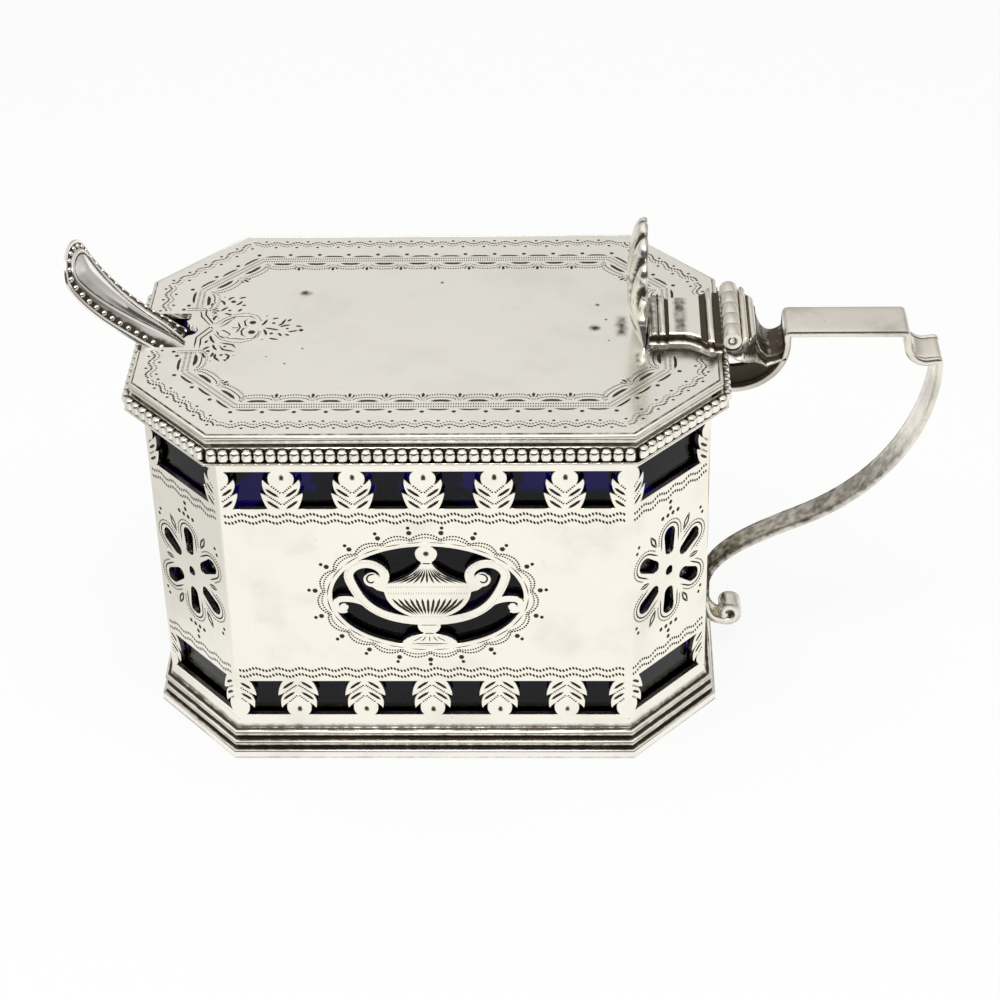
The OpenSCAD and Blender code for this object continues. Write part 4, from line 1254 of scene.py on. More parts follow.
def looped_ribbon():
    """Ribbon ends beside the notch, crossed into a heart of double line with seeds, and three sprays."""
    cuts = []
    for m in (-1, 1):
        for y in (5.85, 6.45):
            cuts += dotted([(-37.4, m * y), (-34.4, m * y)], 0.34, 0.16)
        cuts.append(pit((-37.9, m * 6.1), 0.36))
    ribbon = (
        [(-35.3, 7.6), (-35.2, 5.8), (-34.9, 4.0), (-33.1, 0.9), (-32.0, -1.1)],
        [(-34.5, 7.6), (-34.4, 5.9), (-34.3, 4.5), (-32.8, 1.7), (-31.6, -0.3)],
        [(-35.0, -5.4), (-35.0, -3.7), (-35.0, -2.0), (-33.3, 0.9), (-32.5, 2.1)],
        [(-34.2, -5.4), (-34.2, -4.0), (-34.3, -2.4), (-32.9, -0.1), (-32.1, 1.2)])
    cuts += [stroke(line, 0.22) for line in ribbon]
    for line in (
        [(-32.6, 1.8), (-31.3, 3.5), (-29.9, 4.6), (-27.9, 5.0), (-26.3, 4.2), (-25.6, 2.6)],
        [(-32.4, -1.1), (-31.4, -2.6), (-29.8, -3.4), (-28.2, -3.6), (-26.8, -3.0), (-25.7, -1.8),
         (-25.5, -0.3)],
    ):
        cuts += dotted(line, 0.36, 0.15)
    heart = (
        [(-32.2, 1.2), (-31.1, 2.8), (-29.7, 4.0), (-27.5, 4.1), (-26.2, 2.9)],
        [(-31.8, -1.4), (-30.0, -2.3), (-28.0, -2.6), (-26.4, -2.3), (-25.7, -1.0), (-25.9, 0.3)],
        [(-27.6, 3.5), (-28.2, 2.6), (-27.9, 1.3), (-26.9, 0.8)],
        [(-27.1, 0.9), (-28.1, 0.6), (-28.4, -0.3), (-28.2, -1.4), (-27.4, -2.1)],
        [(-32.0, 0.0), (-31.2, 0.0), (-30.0, -1.1), (-30.3, -2.0)],
        [(-32.2, 0.5), (-30.9, 1.8), (-29.9, 3.5), (-30.2, 2.1)],
        [(-29.2, 2.5), (-28.7, 0.8), (-29.2, -1.0)],
        [(-30.2, 0.7), (-29.5, 0.7), (-28.8, 0.7)],
        [(-32.3, 0.0), (-31.5, -1.7), (-30.5, -2.6)])
    cuts += [stroke(line, 0.24) for line in heart]
    sprays = (
        [(-33.8, 7.0), (-33.6, 7.9), (-33.1, 8.3)], [(-32.7, 8.9), (-32.0, 8.3), (-31.7, 7.3)],
        [(-31.4, 8.8), (-31.0, 9.5), (-30.4, 9.8)], [(-29.8, 9.3), (-29.2, 9.6), (-28.6, 9.8)],
        [(-30.1, 7.3), (-29.5, 7.8), (-29.1, 8.7)], [(-29.6, 5.5), (-29.3, 5.7), (-29.0, 6.4)],
        [(-29.1, 7.2), (-28.8, 7.3), (-28.4, 7.4)], [(-31.6, 5.0), (-30.9, 4.7), (-30.2, 4.3)],
        [(-32.2, 5.5), (-31.7, 6.2), (-31.1, 6.9)], [(-33.7, 5.8), (-33.2, 5.6), (-32.7, 5.0)],
        [(-33.0, 2.8), (-32.9, 3.7), (-32.5, 4.4)], [(-33.0, -1.4), (-32.7, -2.6), (-32.0, -3.9)],
        [(-32.3, -4.0), (-32.0, -5.0), (-31.5, -5.8)],
        [(-31.6, -3.5), (-30.3, -3.9), (-29.3, -4.2), (-28.6, -5.4)],
        [(-31.5, -4.1), (-30.6, -5.6), (-29.6, -5.9), (-28.6, -6.2)],
        [(-31.6, -6.6), (-31.6, -7.8), (-30.7, -9.0)],
        [(-30.3, -6.6), (-29.5, -7.4), (-29.8, -8.9)], [(-33.7, -5.7), (-33.2, -5.1), (-32.6, -4.6)],
        [(-33.6, -6.3), (-33.3, -7.4), (-32.8, -8.1)], [(-32.0, -6.3), (-32.0, -7.1), (-32.3, -7.7)],
        [(-33.4, -3.8), (-33.4, -3.3), (-33.1, -2.8)], [(-30.3, -8.3), (-30.0, -8.5), (-29.6, -9.0)],
        [(-25.5, 1.3), (-25.1, 2.0), (-24.7, 3.2)], [(-24.0, 3.1), (-23.6, 3.4), (-23.0, 3.5)],
        [(-23.0, 1.2), (-22.4, 1.8), (-21.9, 3.3)], [(-25.1, 0.7), (-23.8, 0.3), (-22.6, -0.1)],
        [(-22.8, 0.8), (-21.9, 1.3), (-21.0, 1.5)], [(-20.3, 1.2), (-19.9, 1.1), (-19.3, 0.9)],
        [(-21.4, -0.6), (-20.6, -0.4), (-19.7, -0.1)], [(-25.1, 0.3), (-24.7, -0.6), (-24.5, -1.6)],
        [(-22.9, -0.9), (-22.5, -1.2), (-22.2, -1.9)], [(-24.1, -2.3), (-23.4, -2.6), (-22.5, -2.8)],
        [(-21.8, -1.2), (-21.4, -1.4), (-21.0, -1.7)], [(-21.7, 2.4), (-21.3, 2.9), (-21.0, 3.1)])
    cuts += [stroke(line, 0.36) for line in sprays]
    seeds = ((-26.9, 2.2, 0.6), (-26.8, -0.6, 0.65), (-32.7, 7.0, 0.4), (-30.5, 8.4, 0.45), (-30.8, 5.8, 0.3),
             (-30.4, -4.7, 0.28), (-30.7, -7.1, 0.32), (-32.8, -6.0, 0.36), (-23.7, 2.0, 0.32),
             (-21.5, 0.4, 0.28), (-19.4, -0.1, 0.45), (-23.8, -1.0, 0.34), (-32.0, 9.8, 0.17),
             (-33.2, 4.4, 0.17), (-32.3, 3.6, 0.17), (-24.9, 4.1, 0.17), (-25.0, -2.7, 0.17),
             (-32.1, -8.8, 0.17), (-28.8, -7.2, 0.17))
    return cuts + [pit((x, y), radius) for x, y, radius in seeds]


def spots_and_dark_patches():
    """A few spots on the plain middle of the lid, the largest by the spray, and two long darker patches laid
    along the shell's foot and beside the hinge leaf.
    """
    spots = ((-19.5, 10.8, 1.4), (-18.7, -5.4, 0.3), (-23.9, -7.6, 0.3), (-21.0, -9.6, 0.3), (1.3, 13.9, 0.5),
             (24.9, 0.2, 1.35), (25.3, 6.9, 0.6), (26.6, 2.6, 0.4), (27, -3.4, 0.3))
    # Two long darker patches, along the foot of the shell and beside the hinge leaf
    by_shell = [stain((28.9, 0.6), 1.6, 3.6, 0.013), stain((31.2, -8.4), 0.9, 3.2, 0.011)]
    return [stain((x, y), radius) for x, y, radius in spots] + by_shell


def lid_plate():
    """Engraved top, cut edge and plain underside."""
    edge_tone, under_tone = 0.2, 0.15
    corners = plan(lid_reach - edge_wire)
    half_notch = notch_side(corners[6].x)
    other_half = [Vector((p.x, -p.y)) for p in reversed(half_notch[:-1])]
    outline = corners[:7] + half_notch + other_half + [corners[7]]
    engraving = lid_border() + looped_ribbon() + spots_and_dark_patches()
    flat, triangles, depths = cut_sheet(outline, strokes=engraving)
    points = [Vector((p.x, p.y, lid_top - depth)) for p, depth in zip(flat, depths)]
    cut = [cut_tone(depth) for depth in depths]
    faces = list(triangles)
    below = {}
    for a, b in open_edges(triangles):
        for k in (a, b):
            if k not in below:
                below[k] = len(points)
                points.append(Vector((flat[k].x, flat[k].y, body_height)))
                cut.append(edge_tone)
        faces.append((b, a, below[a], below[b]))
    flat_under, under_triangles, _ = cut_sheet(outline)
    base = len(points)
    points += [Vector((p.x, p.y, body_height)) for p in flat_under]
    cut += [under_tone] * len(flat_under)
    faces += [tuple(base + k for k in reversed(t)) for t in under_triangles]
    return points, faces, cut


lid_silver = silver("lid silver", (0.93, 0.91, 0.845, 1), 0.1, 0.2, 0.000012)
points, faces, cut = lid_plate()
make_piece("lid_plate_engraved", points, faces, "lid", ["lid_plate"], lid_silver, cut)


# Lid edge: a drawn wire with a round bead above a flat band, mitred at the corners, soldered round the
# plate and filed off at the notch. A dark line shows where it meets the plate.

def lid_edge_wire():
    """The wire's section carried round the plan from one side of the notch to the other."""
    inner = lid_reach - edge_wire
    foot = lid_top - 1.4
    section, tones = toned(
        (0.3, [(inner, foot)]),
        (0.2, [(lid_reach - 0.18, foot), (lid_reach - 0.05, foot + 0.12), (lid_reach - 0.08, foot + 0.42)]),
        (0.4, [(lid_reach - 0.2, foot + 0.52)]),
        (0.1, arc((lid_reach - 0.4, lid_top - 0.5), 0.4, -60, 95, 9)),
        (0.55, [(inner + 0.14, lid_top - 0.26), (inner, lid_top - 0.26)]))
    n = len(section)
    points, cut = [], []
    for p, tone in zip(section, tones):
        corners = plan(p.x)
        x = corners[6].x
        mouth = notch_half + notch_mouth + notch_mouth * math.sin(math.radians(notch_mouth_angle(x)))
        path = [Vector((x, -mouth)), corners[7], *corners[:7], Vector((x, mouth))]
        points += [Vector((q.x, q.y, p.y)) for q in path]
        cut += [tone] * len(path)
    m = len(points) // n
    faces = [(k * m + i, k * m + i + 1, (k + 1) % n * m + i + 1, (k + 1) % n * m + i)
             for k in range(n) for i in range(m - 1)]
    faces.append(tuple(k * m for k in range(n)))
    faces.append(tuple(k * m + m - 1 for k in reversed(range(n))))
    return points, faces, cut


points, faces, cut = lid_edge_wire()
edge_silver = silver("edge silver", (0.93, 0.9, 0.82, 1), 0.3, 0.32, 0.00001)
make_piece("lid_edge_bead", points, faces, "lid", ["lid_edge_wire"], edge_silver, cut, 40)


# Lid bezel: a strip bent to the plan and soldered under the lid, which drops inside the wall. Its solid
# is kept, with softened edges.

finish_solid("lid_bezel", inner_silver, 0.12)


# Thumbpiece: a cast scallop shell, chased with ribs that spread from its foot and end in round lobes.
# It stands on the lid against the end of the hinge leaf; painted shade darkens the furrows between the ribs.

shell_x = hinge_x - 12.15
shell_height = 17.8
shell_half = 8.2
shell_foot_half = 5.7
shell_cup = 1.35
shell_ribs = 9
shell_middle = Vector((0, 0.5 * shell_height))


def shell_width(h):
    """Half width at a height: drawn in above the foot, widest past the middle and round at the top."""
    waist, widest = 0.2 * shell_height, 0.56 * shell_height
    if h < waist:
        return mix(shell_foot_half, 0.75 * shell_foot_half, smooth(h / waist))
    if h < widest:
        return mix(0.75 * shell_foot_half, shell_half, smooth((h - waist) / (widest - waist)))
    return shell_half * math.sqrt(max(0, 1 - ((h - widest) / (shell_height - widest)) ** 2))


def shell_rib(y, h):
    """Height of the ribs at a place on the shell, from 0 in a furrow to 1 on a rib."""
    fan = math.degrees(math.atan2(y, h + 0.15 * shell_height))
    return abs(math.cos(math.radians(fan * shell_ribs * 1.65)))


def shell_point(spot, share, front):
    """Place and tone on a face of the shell; share runs from 0 at its middle to 1 at its rim."""
    y, h = spot
    ribbed = smooth((h - 0.24 * shell_height) / (0.3 * shell_height))
    rib = shell_rib(y, h)
    furrow = ribbed * (1 - rib)
    wide = max(0.5, shell_width(min(h, 0.97 * shell_height)))
    across = (y / wide) ** 2
    cupped = shell_cup * math.sin(math.pi * min(1, 0.9 * h / shell_height + 0.1)) * max(0, 1 - across)
    full = math.sqrt(max(0, 1 - share ** (9 if front else 22)))
    full *= 1 - 0.8 * (1 - smooth(h / (0.4 * shell_height))) * min(1, across)
    y, h = shell_middle + (spot - shell_middle) * (1 - 0.08 * furrow * share ** 6)
    if front:
        x = -0.85 - 1.2 * full * (1 - 0.8 * furrow) - cupped
        # Painted shade: the furrows between the ribs are painted dark
        tone = ribbed * smooth((0.7 - rib) / 0.45)
    else:
        x = -0.75 + 0.7 * full * (1 - 0.3 * furrow * share) - cupped * ribbed
        # The back is toned darker all over, with painted shade in its furrows towards the rim
        tone = 0.3 + 0.4 * ribbed * smooth((0.4 - rib) / 0.4) * share
    return Vector((shell_x + x, y, lid_top + h)), tone


def thumbpiece():
    """Front and back of the shell, each of rings from its middle out to its rim."""
    levels, foot = 40, 12
    heights = [shell_height * math.sin(math.pi / 2 * k / levels) for k in range(levels + 1)]
    outline = [Vector((shell_width(h), h)) for h in heights]
    outline += [Vector((-p.x, p.y)) for p in reversed(outline[:-1])]
    outline += [Vector((mix(-shell_foot_half, shell_foot_half, k / foot), 0)) for k in range(1, foot)]
    shares = (0.12, 0.25, 0.38, 0.5, 0.6, 0.7, 0.78, 0.85, 0.9, 0.94, 0.97, 0.985, 1.0)
    spots = [(mix(shell_middle, p, share), share) for share in shares for p in outline] + [(shell_middle, 0)]
    placed = [shell_point(spot, share, front) for front in (True, False) for spot, share in spots]
    n, sheet = len(outline), len(spots)
    faces = []
    for base in (0, sheet):
        faces += ring_quads(base, len(shares), n)
        faces += [(base + sheet - 1, base + i, base + (i + 1) % n) for i in range(n)]
    rim = (len(shares) - 1) * n
    faces += [(rim + i, rim + (i + 1) % n, sheet + rim + (i + 1) % n, sheet + rim + i) for i in range(n)]
    return [p for p, tone in placed], faces, [tone for p, tone in placed]


points, faces, cut = thumbpiece()
make_piece("thumbpiece_shell", points, faces, "lid", ["thumbpiece"], bright_silver,
           cut, 60)


# Lid hinge leaf: a cast leaf soldered on the lid from the shell to the knuckles: two reeds by the shell,
# a flat, then a ridge between two quirks. Its sides are hollowed above a flange and are painted dark
# there with painted shade.

leaf_top = lid_top + 2.6
flare_x = hinge_x - knuckle_radius - 2.3
before = hinge_x - knuckle_radius - to_knuckle
top, tones = toned(
    (0.5, [(shell_x, leaf_top - 0.5)]),
    (0.38, arc((shell_x + 0.75, leaf_top - 0.5), 0.5, 170, 15, 7)),
    (0.95, [(shell_x + 1.32, leaf_top - 0.5)]),
    (0.1, arc((shell_x + 1.9, leaf_top - 0.5), 0.5, 165, 15, 7)),
    (0.95, [(shell_x + 2.5, leaf_top - 0.6), (shell_x + 2.8, leaf_top - 0.55)]),
    (0.05, [(shell_x + 2.95, leaf_top - 0.3), (shell_x + 3.4, leaf_top - 0.3)]),
    (0.48, [(shell_x + 4.1, leaf_top - 0.3), (shell_x + 5.1, leaf_top - 0.3)]),
    (0.05, [(shell_x + 6.0, leaf_top - 0.3), (flare_x - 0.95, leaf_top - 0.3)]),
    (0.95, [(flare_x - 0.8, leaf_top - 0.7), (flare_x - 0.05, leaf_top - 0.7)]),
    (0.0, arc((flare_x + 0.6, leaf_top - 0.5), 0.5, 155, 25, 7)),
    (0.95, [(flare_x + 1.2, leaf_top - 0.8), (before - 0.05, leaf_top - 0.9)]),
    (0.5, [(before, leaf_top - 0.9)]))
under = [(shell_x, lid_top), (half_l + lid_reach, lid_top), (hinge_x, lid_top + 0.35)]
width = [(shell_x, 5.5), (shell_x + 2.5, 5.5), (shell_x + 2.75, 5.2), (flare_x - 3.0, 5.2),
         (flare_x - 1.8, 5.7), (flare_x - 0.9, 6.4), (flare_x, 7.2), (flare_x + 0.6, hinge_half),
         (hinge_x, hinge_half)]
points, faces, cut = moulded_block(top, tones, under, width, 0.6, 0.18)
make_piece("lid_hinge_leaf_moulded", points, faces, "lid", ["lid_hinge_leaf"], bright_silver,
           cut, 38)


# Lid knuckles: three short tubes of silver soldered to that leaf, which turn on the pin. Their solids
# are kept and are worn bright.

finish_solid("lid_knuckles", worn_silver, 0.04)


# Glass liner: a blown and cut pot of cobalt glass that stands loose in the frame, with ground rim and
# rounded inner corners. It is so deep a blue that it looks black except where light comes through.

liner_low, liner_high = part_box("glass_liner")
liner_out = -(wall_sheet + 0.5)
liner_wall = 2
liner_foot = liner_low.z / MM
liner_top = liner_high.z / MM
liner_floor = 2.5


def soft_plan(d, radius, n=5):
    """The plan at d with rounded corners."""
    corners = plan(d)
    ring = []
    for k, corner in enumerate(corners):
        before, after = corners[k - 1], corners[(k + 1) % 8]
        start = corner + (before - corner).normalized() * radius
        end = corner + (after - corner).normalized() * radius
        ring += bend(start, corner, end, n) + [end]
    return ring


def glass_liner():
    """Rings from under the foot up the outside, over the rim and down to the floor inside."""
    outer_corner, inner_corner = 1.4, 1.2
    inner = liner_out - liner_wall
    wall = [(liner_out - 1.2, liner_foot, inner_corner)]
    outside = (arc((liner_out - 1, liner_foot + 1), 1, -80, 0, 5)
               + arc((liner_out - 0.5, liner_top - 0.5), 0.5, 0, 90, 5))
    inside = (arc((inner + 0.5, liner_top - 0.5), 0.5, 90, 180, 5)
              + arc((inner - 2, liner_foot + liner_floor + 2), 2, 0, -88, 7))
    wall += [(p.x, p.y, outer_corner) for p in outside] + [(p.x, p.y, inner_corner) for p in inside]
    rings = [[Vector((q.x, q.y, z)) for q in soft_plan(d, radius)] for d, z, radius in wall]
    return loft(rings)


cobalt = bpy.data.materials.new("cobalt glass")
cobalt.use_nodes = True
nodes, links = cobalt.node_tree.nodes, cobalt.node_tree.links
shader = nodes["Principled BSDF"]
shader.inputs["Transmission Weight"].default_value = 1
shader.inputs["IOR"].default_value = 1.3
depth_noise = nodes.new("ShaderNodeTexNoise")
depth_noise.inputs["Scale"].default_value = 60
glass_place = nodes.new("ShaderNodeTexCoord")
streaks = nodes.new("ShaderNodeMix")
streaks.data_type = "RGBA"
streaks.inputs[6].default_value = (0.045, 0.022, 0.21, 1)
streaks.inputs[7].default_value = (0.065, 0.032, 0.28, 1)
seed = nodes.new("ShaderNodeBump")
seed.inputs["Distance"].default_value = 0.00004
smear = nodes.new("ShaderNodeMapRange")
smear.inputs["To Min"].default_value = 0.02
smear.inputs["To Max"].default_value = 0.09
for source, target in (
    (glass_place.outputs["Object"], depth_noise.inputs["Vector"]),
    (depth_noise.outputs["Fac"], streaks.inputs[0]),
    (depth_noise.outputs["Fac"], smear.inputs["Value"]),
    (depth_noise.outputs["Fac"], seed.inputs["Height"]),
    (streaks.outputs[2], shader.inputs["Base Color"]),
    (smear.outputs["Result"], shader.inputs["Roughness"]),
    (seed.outputs["Normal"], shader.inputs["Normal"]),
):
    links.new(source, target)
points, faces = glass_liner()
make_piece("glass_liner_pot", points, faces, "liner", ["glass_liner"], cobalt, crease=40)


# Spoon: forged in one piece from a silver bar: a deep bowl in the pot, a plain stem, and a flat handle that
# comes out of the notch. The handle's end is struck with a bead border, a thread and a ridged panel.

spoon_thickness = 0.9
stem_half = 1.5
spoon_neck_half = 4.3
spoon_end_half = 5.2
bowl_length = 21
bowl_half = 8.5
bowl_depth = 5
spoon_turn = math.radians(8)
upper_share = 0.45
over_wall = Vector((-half_l, body_height + 1.7))
bowl_tip = Vector((half_l + liner_out - liner_wall - 4, liner_foot + liner_floor + 0.3 + spoon_thickness))
stem_way = (over_wall - bowl_tip).normalized()
stem_length = (over_wall - bowl_tip).length
spoon_tip = over_wall + Vector((-11, 14))
handle_curve = sweep(over_wall, over_wall + 6.5 * stem_way, spoon_tip + Vector((1.2, -5.5)), spoon_tip, 60)
handle_curve.append(spoon_tip)
handle_runs = [0.0]
for a, b in zip(handle_curve, handle_curve[1:]):
    handle_runs.append(handle_runs[-1] + (b - a).length)
handle_length = handle_runs[-1]
round_from = 0.75 * handle_length
border_width = 2.6
bead_border = 1.5
panel_point = -4.5
ridge_shift = 1.0
ridge_height = 0.75
end_crown = 1.3


def spoon_place(s, v, rise):
    """Point on the spoon: s along from the wall, v across, rise above its middle sheet."""
    if s <= 0:
        p, way = over_wall + stem_way * s, stem_way
        turned = smooth(1 + s / (upper_share * stem_length))
    else:
        k = min(len(handle_curve) - 2, max(i for i, run in enumerate(handle_runs) if run <= s))
        step = handle_curve[k + 1] - handle_curve[k]
        p, way = handle_curve[k] + step.normalized() * (s - handle_runs[k]), step.normalized()
        turned = 1
    flat = Vector((way.y, 0, -way.x))
    turn = spoon_turn * turned
    up = flat * math.cos(turn) - Vector((0, math.sin(turn), 0))
    wide = flat * math.sin(turn) + Vector((0, math.cos(turn), 0))
    return Vector((p.x, 0, p.y)) + wide * v + up * rise


def spoon_half_width(s):
    """Half width of the stem and handle at a distance along."""
    if s <= 0:
        opening = smooth(1 + s / (upper_share * (stem_length - bowl_length)))
        return mix(stem_half, spoon_neck_half, opening)
    return mix(spoon_neck_half, spoon_end_half, smooth(s / round_from))


def bowl_and_stem(neck):
    """Rings from the bowl's tip along the stem to the neck."""
    rings, cut = [], []
    across, bowl_steps, stem_steps = 16, 24, 40
    stem_bar, neck_from, plain_tone = 1.8, -30, 0.05
    stations = []
    for k in range(bowl_steps + 1):
        t = (1 - math.cos(math.pi * k / bowl_steps)) / 2
        belly = 1 - (2 * t - 1) ** 2
        half = bowl_half * math.sqrt(max(0.004, belly))
        to_stem = smooth((t - 0.8) / 0.2)
        stations.append((t * bowl_length - stem_length, mix(half, stem_half, to_stem),
                         bowl_depth * belly * (1 - to_stem), spoon_thickness))
    for k in range(1, stem_steps + 1):
        s = mix(bowl_length - stem_length, neck, k / stem_steps)
        opening = smooth(1 - s / neck_from)
        stations.append((s, spoon_half_width(s), 0, mix(stem_bar, 1.0, opening) * spoon_thickness))
    for s, half, hollow, thick in stations:
        upper, lower = [], []
        for i in range(across + 1):
            u = 2 * i / across - 1
            crown = thick / 2 * (1 - 0.55 * abs(u) ** 3)
            upper.append(spoon_place(s, u * half, crown - hollow * (1 - u * u)))
            lower.append(spoon_place(s, u * half, -crown - hollow * (1 - u * u)))
        rings.append(upper + lower[::-1])
        cut += [plain_tone] * (2 * across + 2)
    points, faces = loft(rings)
    return points, faces, cut


def struck_end(neck, base):
    """The handle's end: lines that follow its outline inwards, from rim and beads to the ridged panel."""
    outline = []
    steps, turns = 25, 40
    for k in range(steps + 1):
        s = mix(neck, round_from, k / steps)
        outline.append((Vector((s, -spoon_half_width(s))), Vector((s, 0))))
    for k in range(1, turns):
        a = math.pi * k / turns
        along = mix(round_from, handle_length, math.sin(a))
        outline.append((Vector((along, -spoon_end_half * math.cos(a))), Vector((round_from, 0))))
    outline += [(Vector((e.x, -e.y)), c) for e, c in reversed(outline[:steps + 1])]
    # Inwards from the edge: (distance, height, tone); the panel then rises to its ridge, nearer one edge,
    # and draws in to a point at the notch
    border = [(0, -0.1, 0.1), (0.04, 0.1, 0), (0.14, 0.17, 0), (0.5, 0.17, 0.05), (0.66, 0.05, 0.9),
              (1.4, 0.05, 0.95), (1.56, 0.22, 0.1), (1.75, 0.33, 0), (1.98, 0.32, 0), (2.14, 0.2, 0.1),
              (2.3, 0.05, 0.95), (2.5, 0.12, 0.2)]
    back = ((0.03, -0.22), (0.12, -0.3), (0.5, -0.42), (1.0, -0.45))
    points, cut, faces = [], [], []

    def struck(spot, height):
        """Point of the end, which is crowned across its width and runs out into the plain stem."""
        share = abs(spot.y) / spoon_half_width(min(spot.x, round_from))
        fade = smooth((spot.x - neck) / 9) * smooth((handle_length - spot.x) / 5)
        plain = math.copysign(spoon_thickness / 2 * (1 - 0.55 * share ** 3), height + 0.15)
        height = mix(plain, height, smooth((spot.x - neck) / 3))
        return spoon_place(spot.x, spot.y, height + end_crown * (0.5 - share ** 2) * fade)

    for edge, centre in outline:
        far = (centre - edge).length
        inward = (centre - edge) / far
        opened = max(0, min(1, (centre.x - panel_point) / (round_from - panel_point))) ** 0.7
        drawn_in = max(0, far - border_width) * (1 - opened)
        for distance, height, tone in border:
            if distance > bead_border:
                distance = min(distance + drawn_in, 0.97 * far)
            points.append(struck(edge + inward * distance, height))
            cut.append(tone)
        ridge = centre - Vector((0, ridge_shift * opened))
        # Painted shade: the panel's facet on the front side of the ridge is painted a little darker
        for share, tone in ((0.5, 0.2 if edge.y < 0 else 0.0), (1.0, 0.0)):
            spot = mix(edge + inward * min(border_width + drawn_in, 0.98 * far), ridge, share)
            points.append(struck(spot, mix(0.12, mix(0.3, ridge_height, opened), share)))
            cut.append(tone)
        for share, height in back:
            points.append(struck(mix(edge, centre, share), height))
            cut.append(0.1)
    top = len(border) + 2
    row = top + len(back)
    upper = [(i, i + 1) for i in range(top - 1)]
    lower = [(0, top)] + [(i, i + 1) for i in range(top, row - 1)]
    for k in range(len(outline) - 1):
        near, far = base + k * row, base + (k + 1) * row
        faces += [(near + i, near + j, far + j, far + i) for i, j in upper]
        faces += [(near + i, far + i, far + j, near + j) for i, j in lower]
    bead_inset, bead_step, bead_along, bead_across, bead_foot, bead_rise = 1.03, 1.42, 0.46, 0.44, 0.02, 0.42
    inwards = [(centre - edge).normalized() for edge, centre in outline]
    bead_line = [edge + inward * bead_inset for (edge, _), inward in zip(outline, inwards)]
    tones = (0.9, 0.35, 0, 0)
    around = 12
    for middle, way, _, stretch in steps_along(bead_line, bead_step):
        first = base + len(points)
        inward = inwards[stretch]
        for r, tone in enumerate(tones):
            rise = math.pi / 2 * r / len(tones)
            for a in range(around):
                turn = 2 * math.pi * a / around
                out = way * bead_along * math.cos(turn) + inward * bead_across * math.sin(turn)
                points.append(struck(middle + out * math.cos(rise), bead_foot + bead_rise * math.sin(rise)))
                cut.append(tone)
        points.append(struck(middle, bead_foot + bead_rise))
        cut.append(0)
        faces += dome_faces(first, len(tones), around)
    return points, faces, cut


neck = -9.0
points, faces, cut = bowl_and_stem(neck + 0.05)
end_points, end_faces, end_cut = struck_end(neck, len(points))
spoon_silver = silver("spoon silver", (0.95, 0.92, 0.87, 1), 0.1, 0.14, 0.000008)
make_piece("mustard_spoon_struck", points + end_points, faces + end_faces, "spoon", ["mustard_spoon"],
           spoon_silver, cut + end_cut, 50)


# Stage: a white table that runs on past the view, under a plain soft studio: bright above, behind and at the
# sides, one soft box over the front, and a dark room behind the camera that the rounded silver mirrors.
# The camera looks down on the front from a little to the right.

table_size = 3.0
table_level = -0.00002
table_mesh = bpy.data.meshes.new("table")
corner_signs = ((-1, -1), (1, -1), (1, 1), (-1, 1))
table_corners = [(x * table_size, y * table_size, table_level) for x, y in corner_signs]
table_mesh.from_pydata(table_corners, [], [(0, 1, 2, 3)])
table = bpy.data.objects.new("table", table_mesh)
bpy.context.scene.collection.objects.link(table)
paper = bpy.data.materials.new("white paper")
paper.use_nodes = True
tree = paper.node_tree
tree.nodes.clear()
ray = tree.nodes.new("ShaderNodeLightPath").outputs
table_place = tree.nodes.new("ShaderNodeTexCoord")
table_parts = tree.nodes.new("ShaderNodeSeparateXYZ")
matt = tree.nodes.new("ShaderNodeBsdfDiffuse")
matt.inputs["Color"].default_value = (0.96, 0.96, 0.955, 1)
white = tree.nodes.new("ShaderNodeEmission")
white.inputs["Color"].default_value = (1, 1, 1, 1)
shown = tree.nodes.new("ShaderNodeMixShader")
out = tree.nodes.new("ShaderNodeOutputMaterial")
in_view = maths(tree, "MAXIMUM", ray["Is Camera Ray"], ray["Is Transmission Ray"])
or_mirrored = maths(tree, "MAXIMUM", in_view, ray["Is Glossy Ray"])
dim_left = span(tree, table_parts.outputs["X"], -0.085, -0.035, 0.7)
for source, target in (
    (table_place.outputs["Object"], table_parts.inputs["Vector"]),
    (maths(tree, "MAXIMUM", in_view, dim_left), white.inputs["Strength"]),
    (maths(tree, "MULTIPLY", or_mirrored, 0.88), shown.inputs["Fac"]),
    (matt.outputs["BSDF"], shown.inputs[1]),
    (white.outputs["Emission"], shown.inputs[2]),
    (shown.outputs["Shader"], out.inputs["Surface"]),
):
    tree.links.new(source, target)
table_mesh.materials.append(paper)

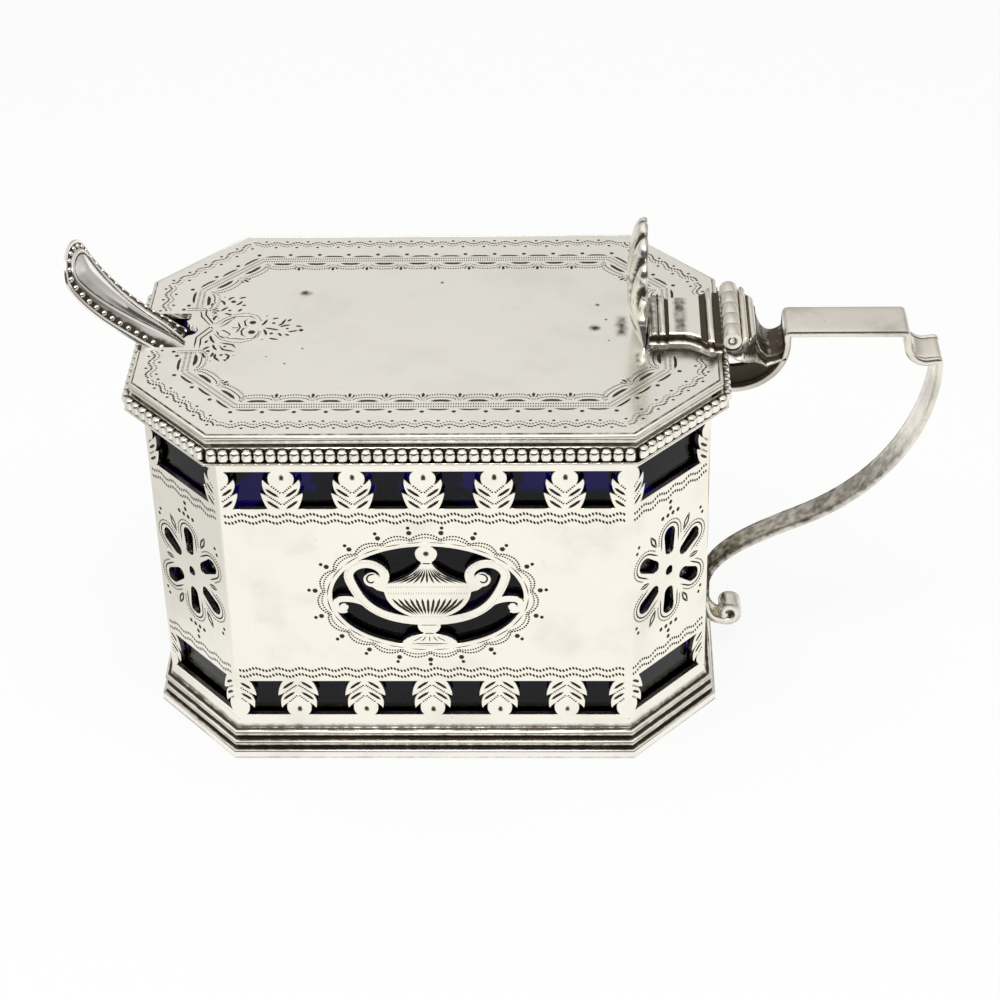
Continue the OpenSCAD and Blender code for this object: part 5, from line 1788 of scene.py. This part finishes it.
studio = bpy.data.worlds.new("studio")
bpy.context.scene.world = studio
studio.use_nodes = True
tree = studio.node_tree
tree.nodes.clear()
way = tree.nodes.new("ShaderNodeTexCoord")
parts = tree.nodes.new("ShaderNodeSeparateXYZ")
tree.links.new(way.outputs["Generated"], parts.inputs["Vector"])
behind_camera = span(tree, parts.outputs["Y"], -0.55, -0.1, 1, 0)
below_top = span(tree, parts.outputs["Z"], 0.5, 0.8, 1, 0)
dark_room = maths(tree, "MULTIPLY", behind_camera, below_top)
rising = span(tree, parts.outputs["Z"], 0.2, 0.75, 0.55, 0.95)
to_the_right = span(tree, parts.outputs["X"], -0.03, 0.08, 1, 0.87)
open_sky = maths(tree, "MULTIPLY", rising, to_the_right)
sky = tree.nodes.new("ShaderNodeBackground")
sky.inputs["Color"].default_value = (1, 0.985, 0.96, 1)
out = tree.nodes.new("ShaderNodeOutputWorld")
room = span(tree, dark_room, 0, 1, 1, 0.14)
tree.links.new(maths(tree, "MULTIPLY", open_sky, room), sky.inputs["Strength"])
tree.links.new(sky.outputs["Background"], out.inputs["Surface"])

box_light = bpy.data.lights.new("soft box", "AREA")
box_light.shape = "RECTANGLE"
box_light.size = 0.3
box_light.size_y = 0.14
box_light.energy = 0.45
soft_box = bpy.data.objects.new("soft box", box_light)
soft_box.location = (0, -0.12, 0.32)
bpy.context.scene.collection.objects.link(soft_box)

bpy.context.scene.view_settings.view_transform = "Standard"

camera_azimuth = 0.0412
camera_elevation = 0.6088
camera_roll = -0.0261
camera_place = Vector((24.0479, -341.4963, 266.3664))
back = Vector((math.sin(camera_azimuth) * math.cos(camera_elevation),
               -math.cos(camera_azimuth) * math.cos(camera_elevation), math.sin(camera_elevation)))
level = Vector((math.cos(camera_azimuth), math.sin(camera_azimuth), 0))
upright = back.cross(level)
right = level * math.cos(camera_roll) + upright * math.sin(camera_roll)
up = upright * math.cos(camera_roll) - level * math.sin(camera_roll)
lens = bpy.data.cameras.new("camera")
lens.sensor_width = 36
lens.lens = 95.395
lens.clip_start = 0.01
camera = bpy.data.objects.new("camera", lens)
bpy.context.scene.collection.objects.link(camera)
facing = Matrix((right, up, back)).transposed().to_4x4()
camera.matrix_world = Matrix.Translation(camera_place * MM) @ facing
bpy.context.scene.camera = camera
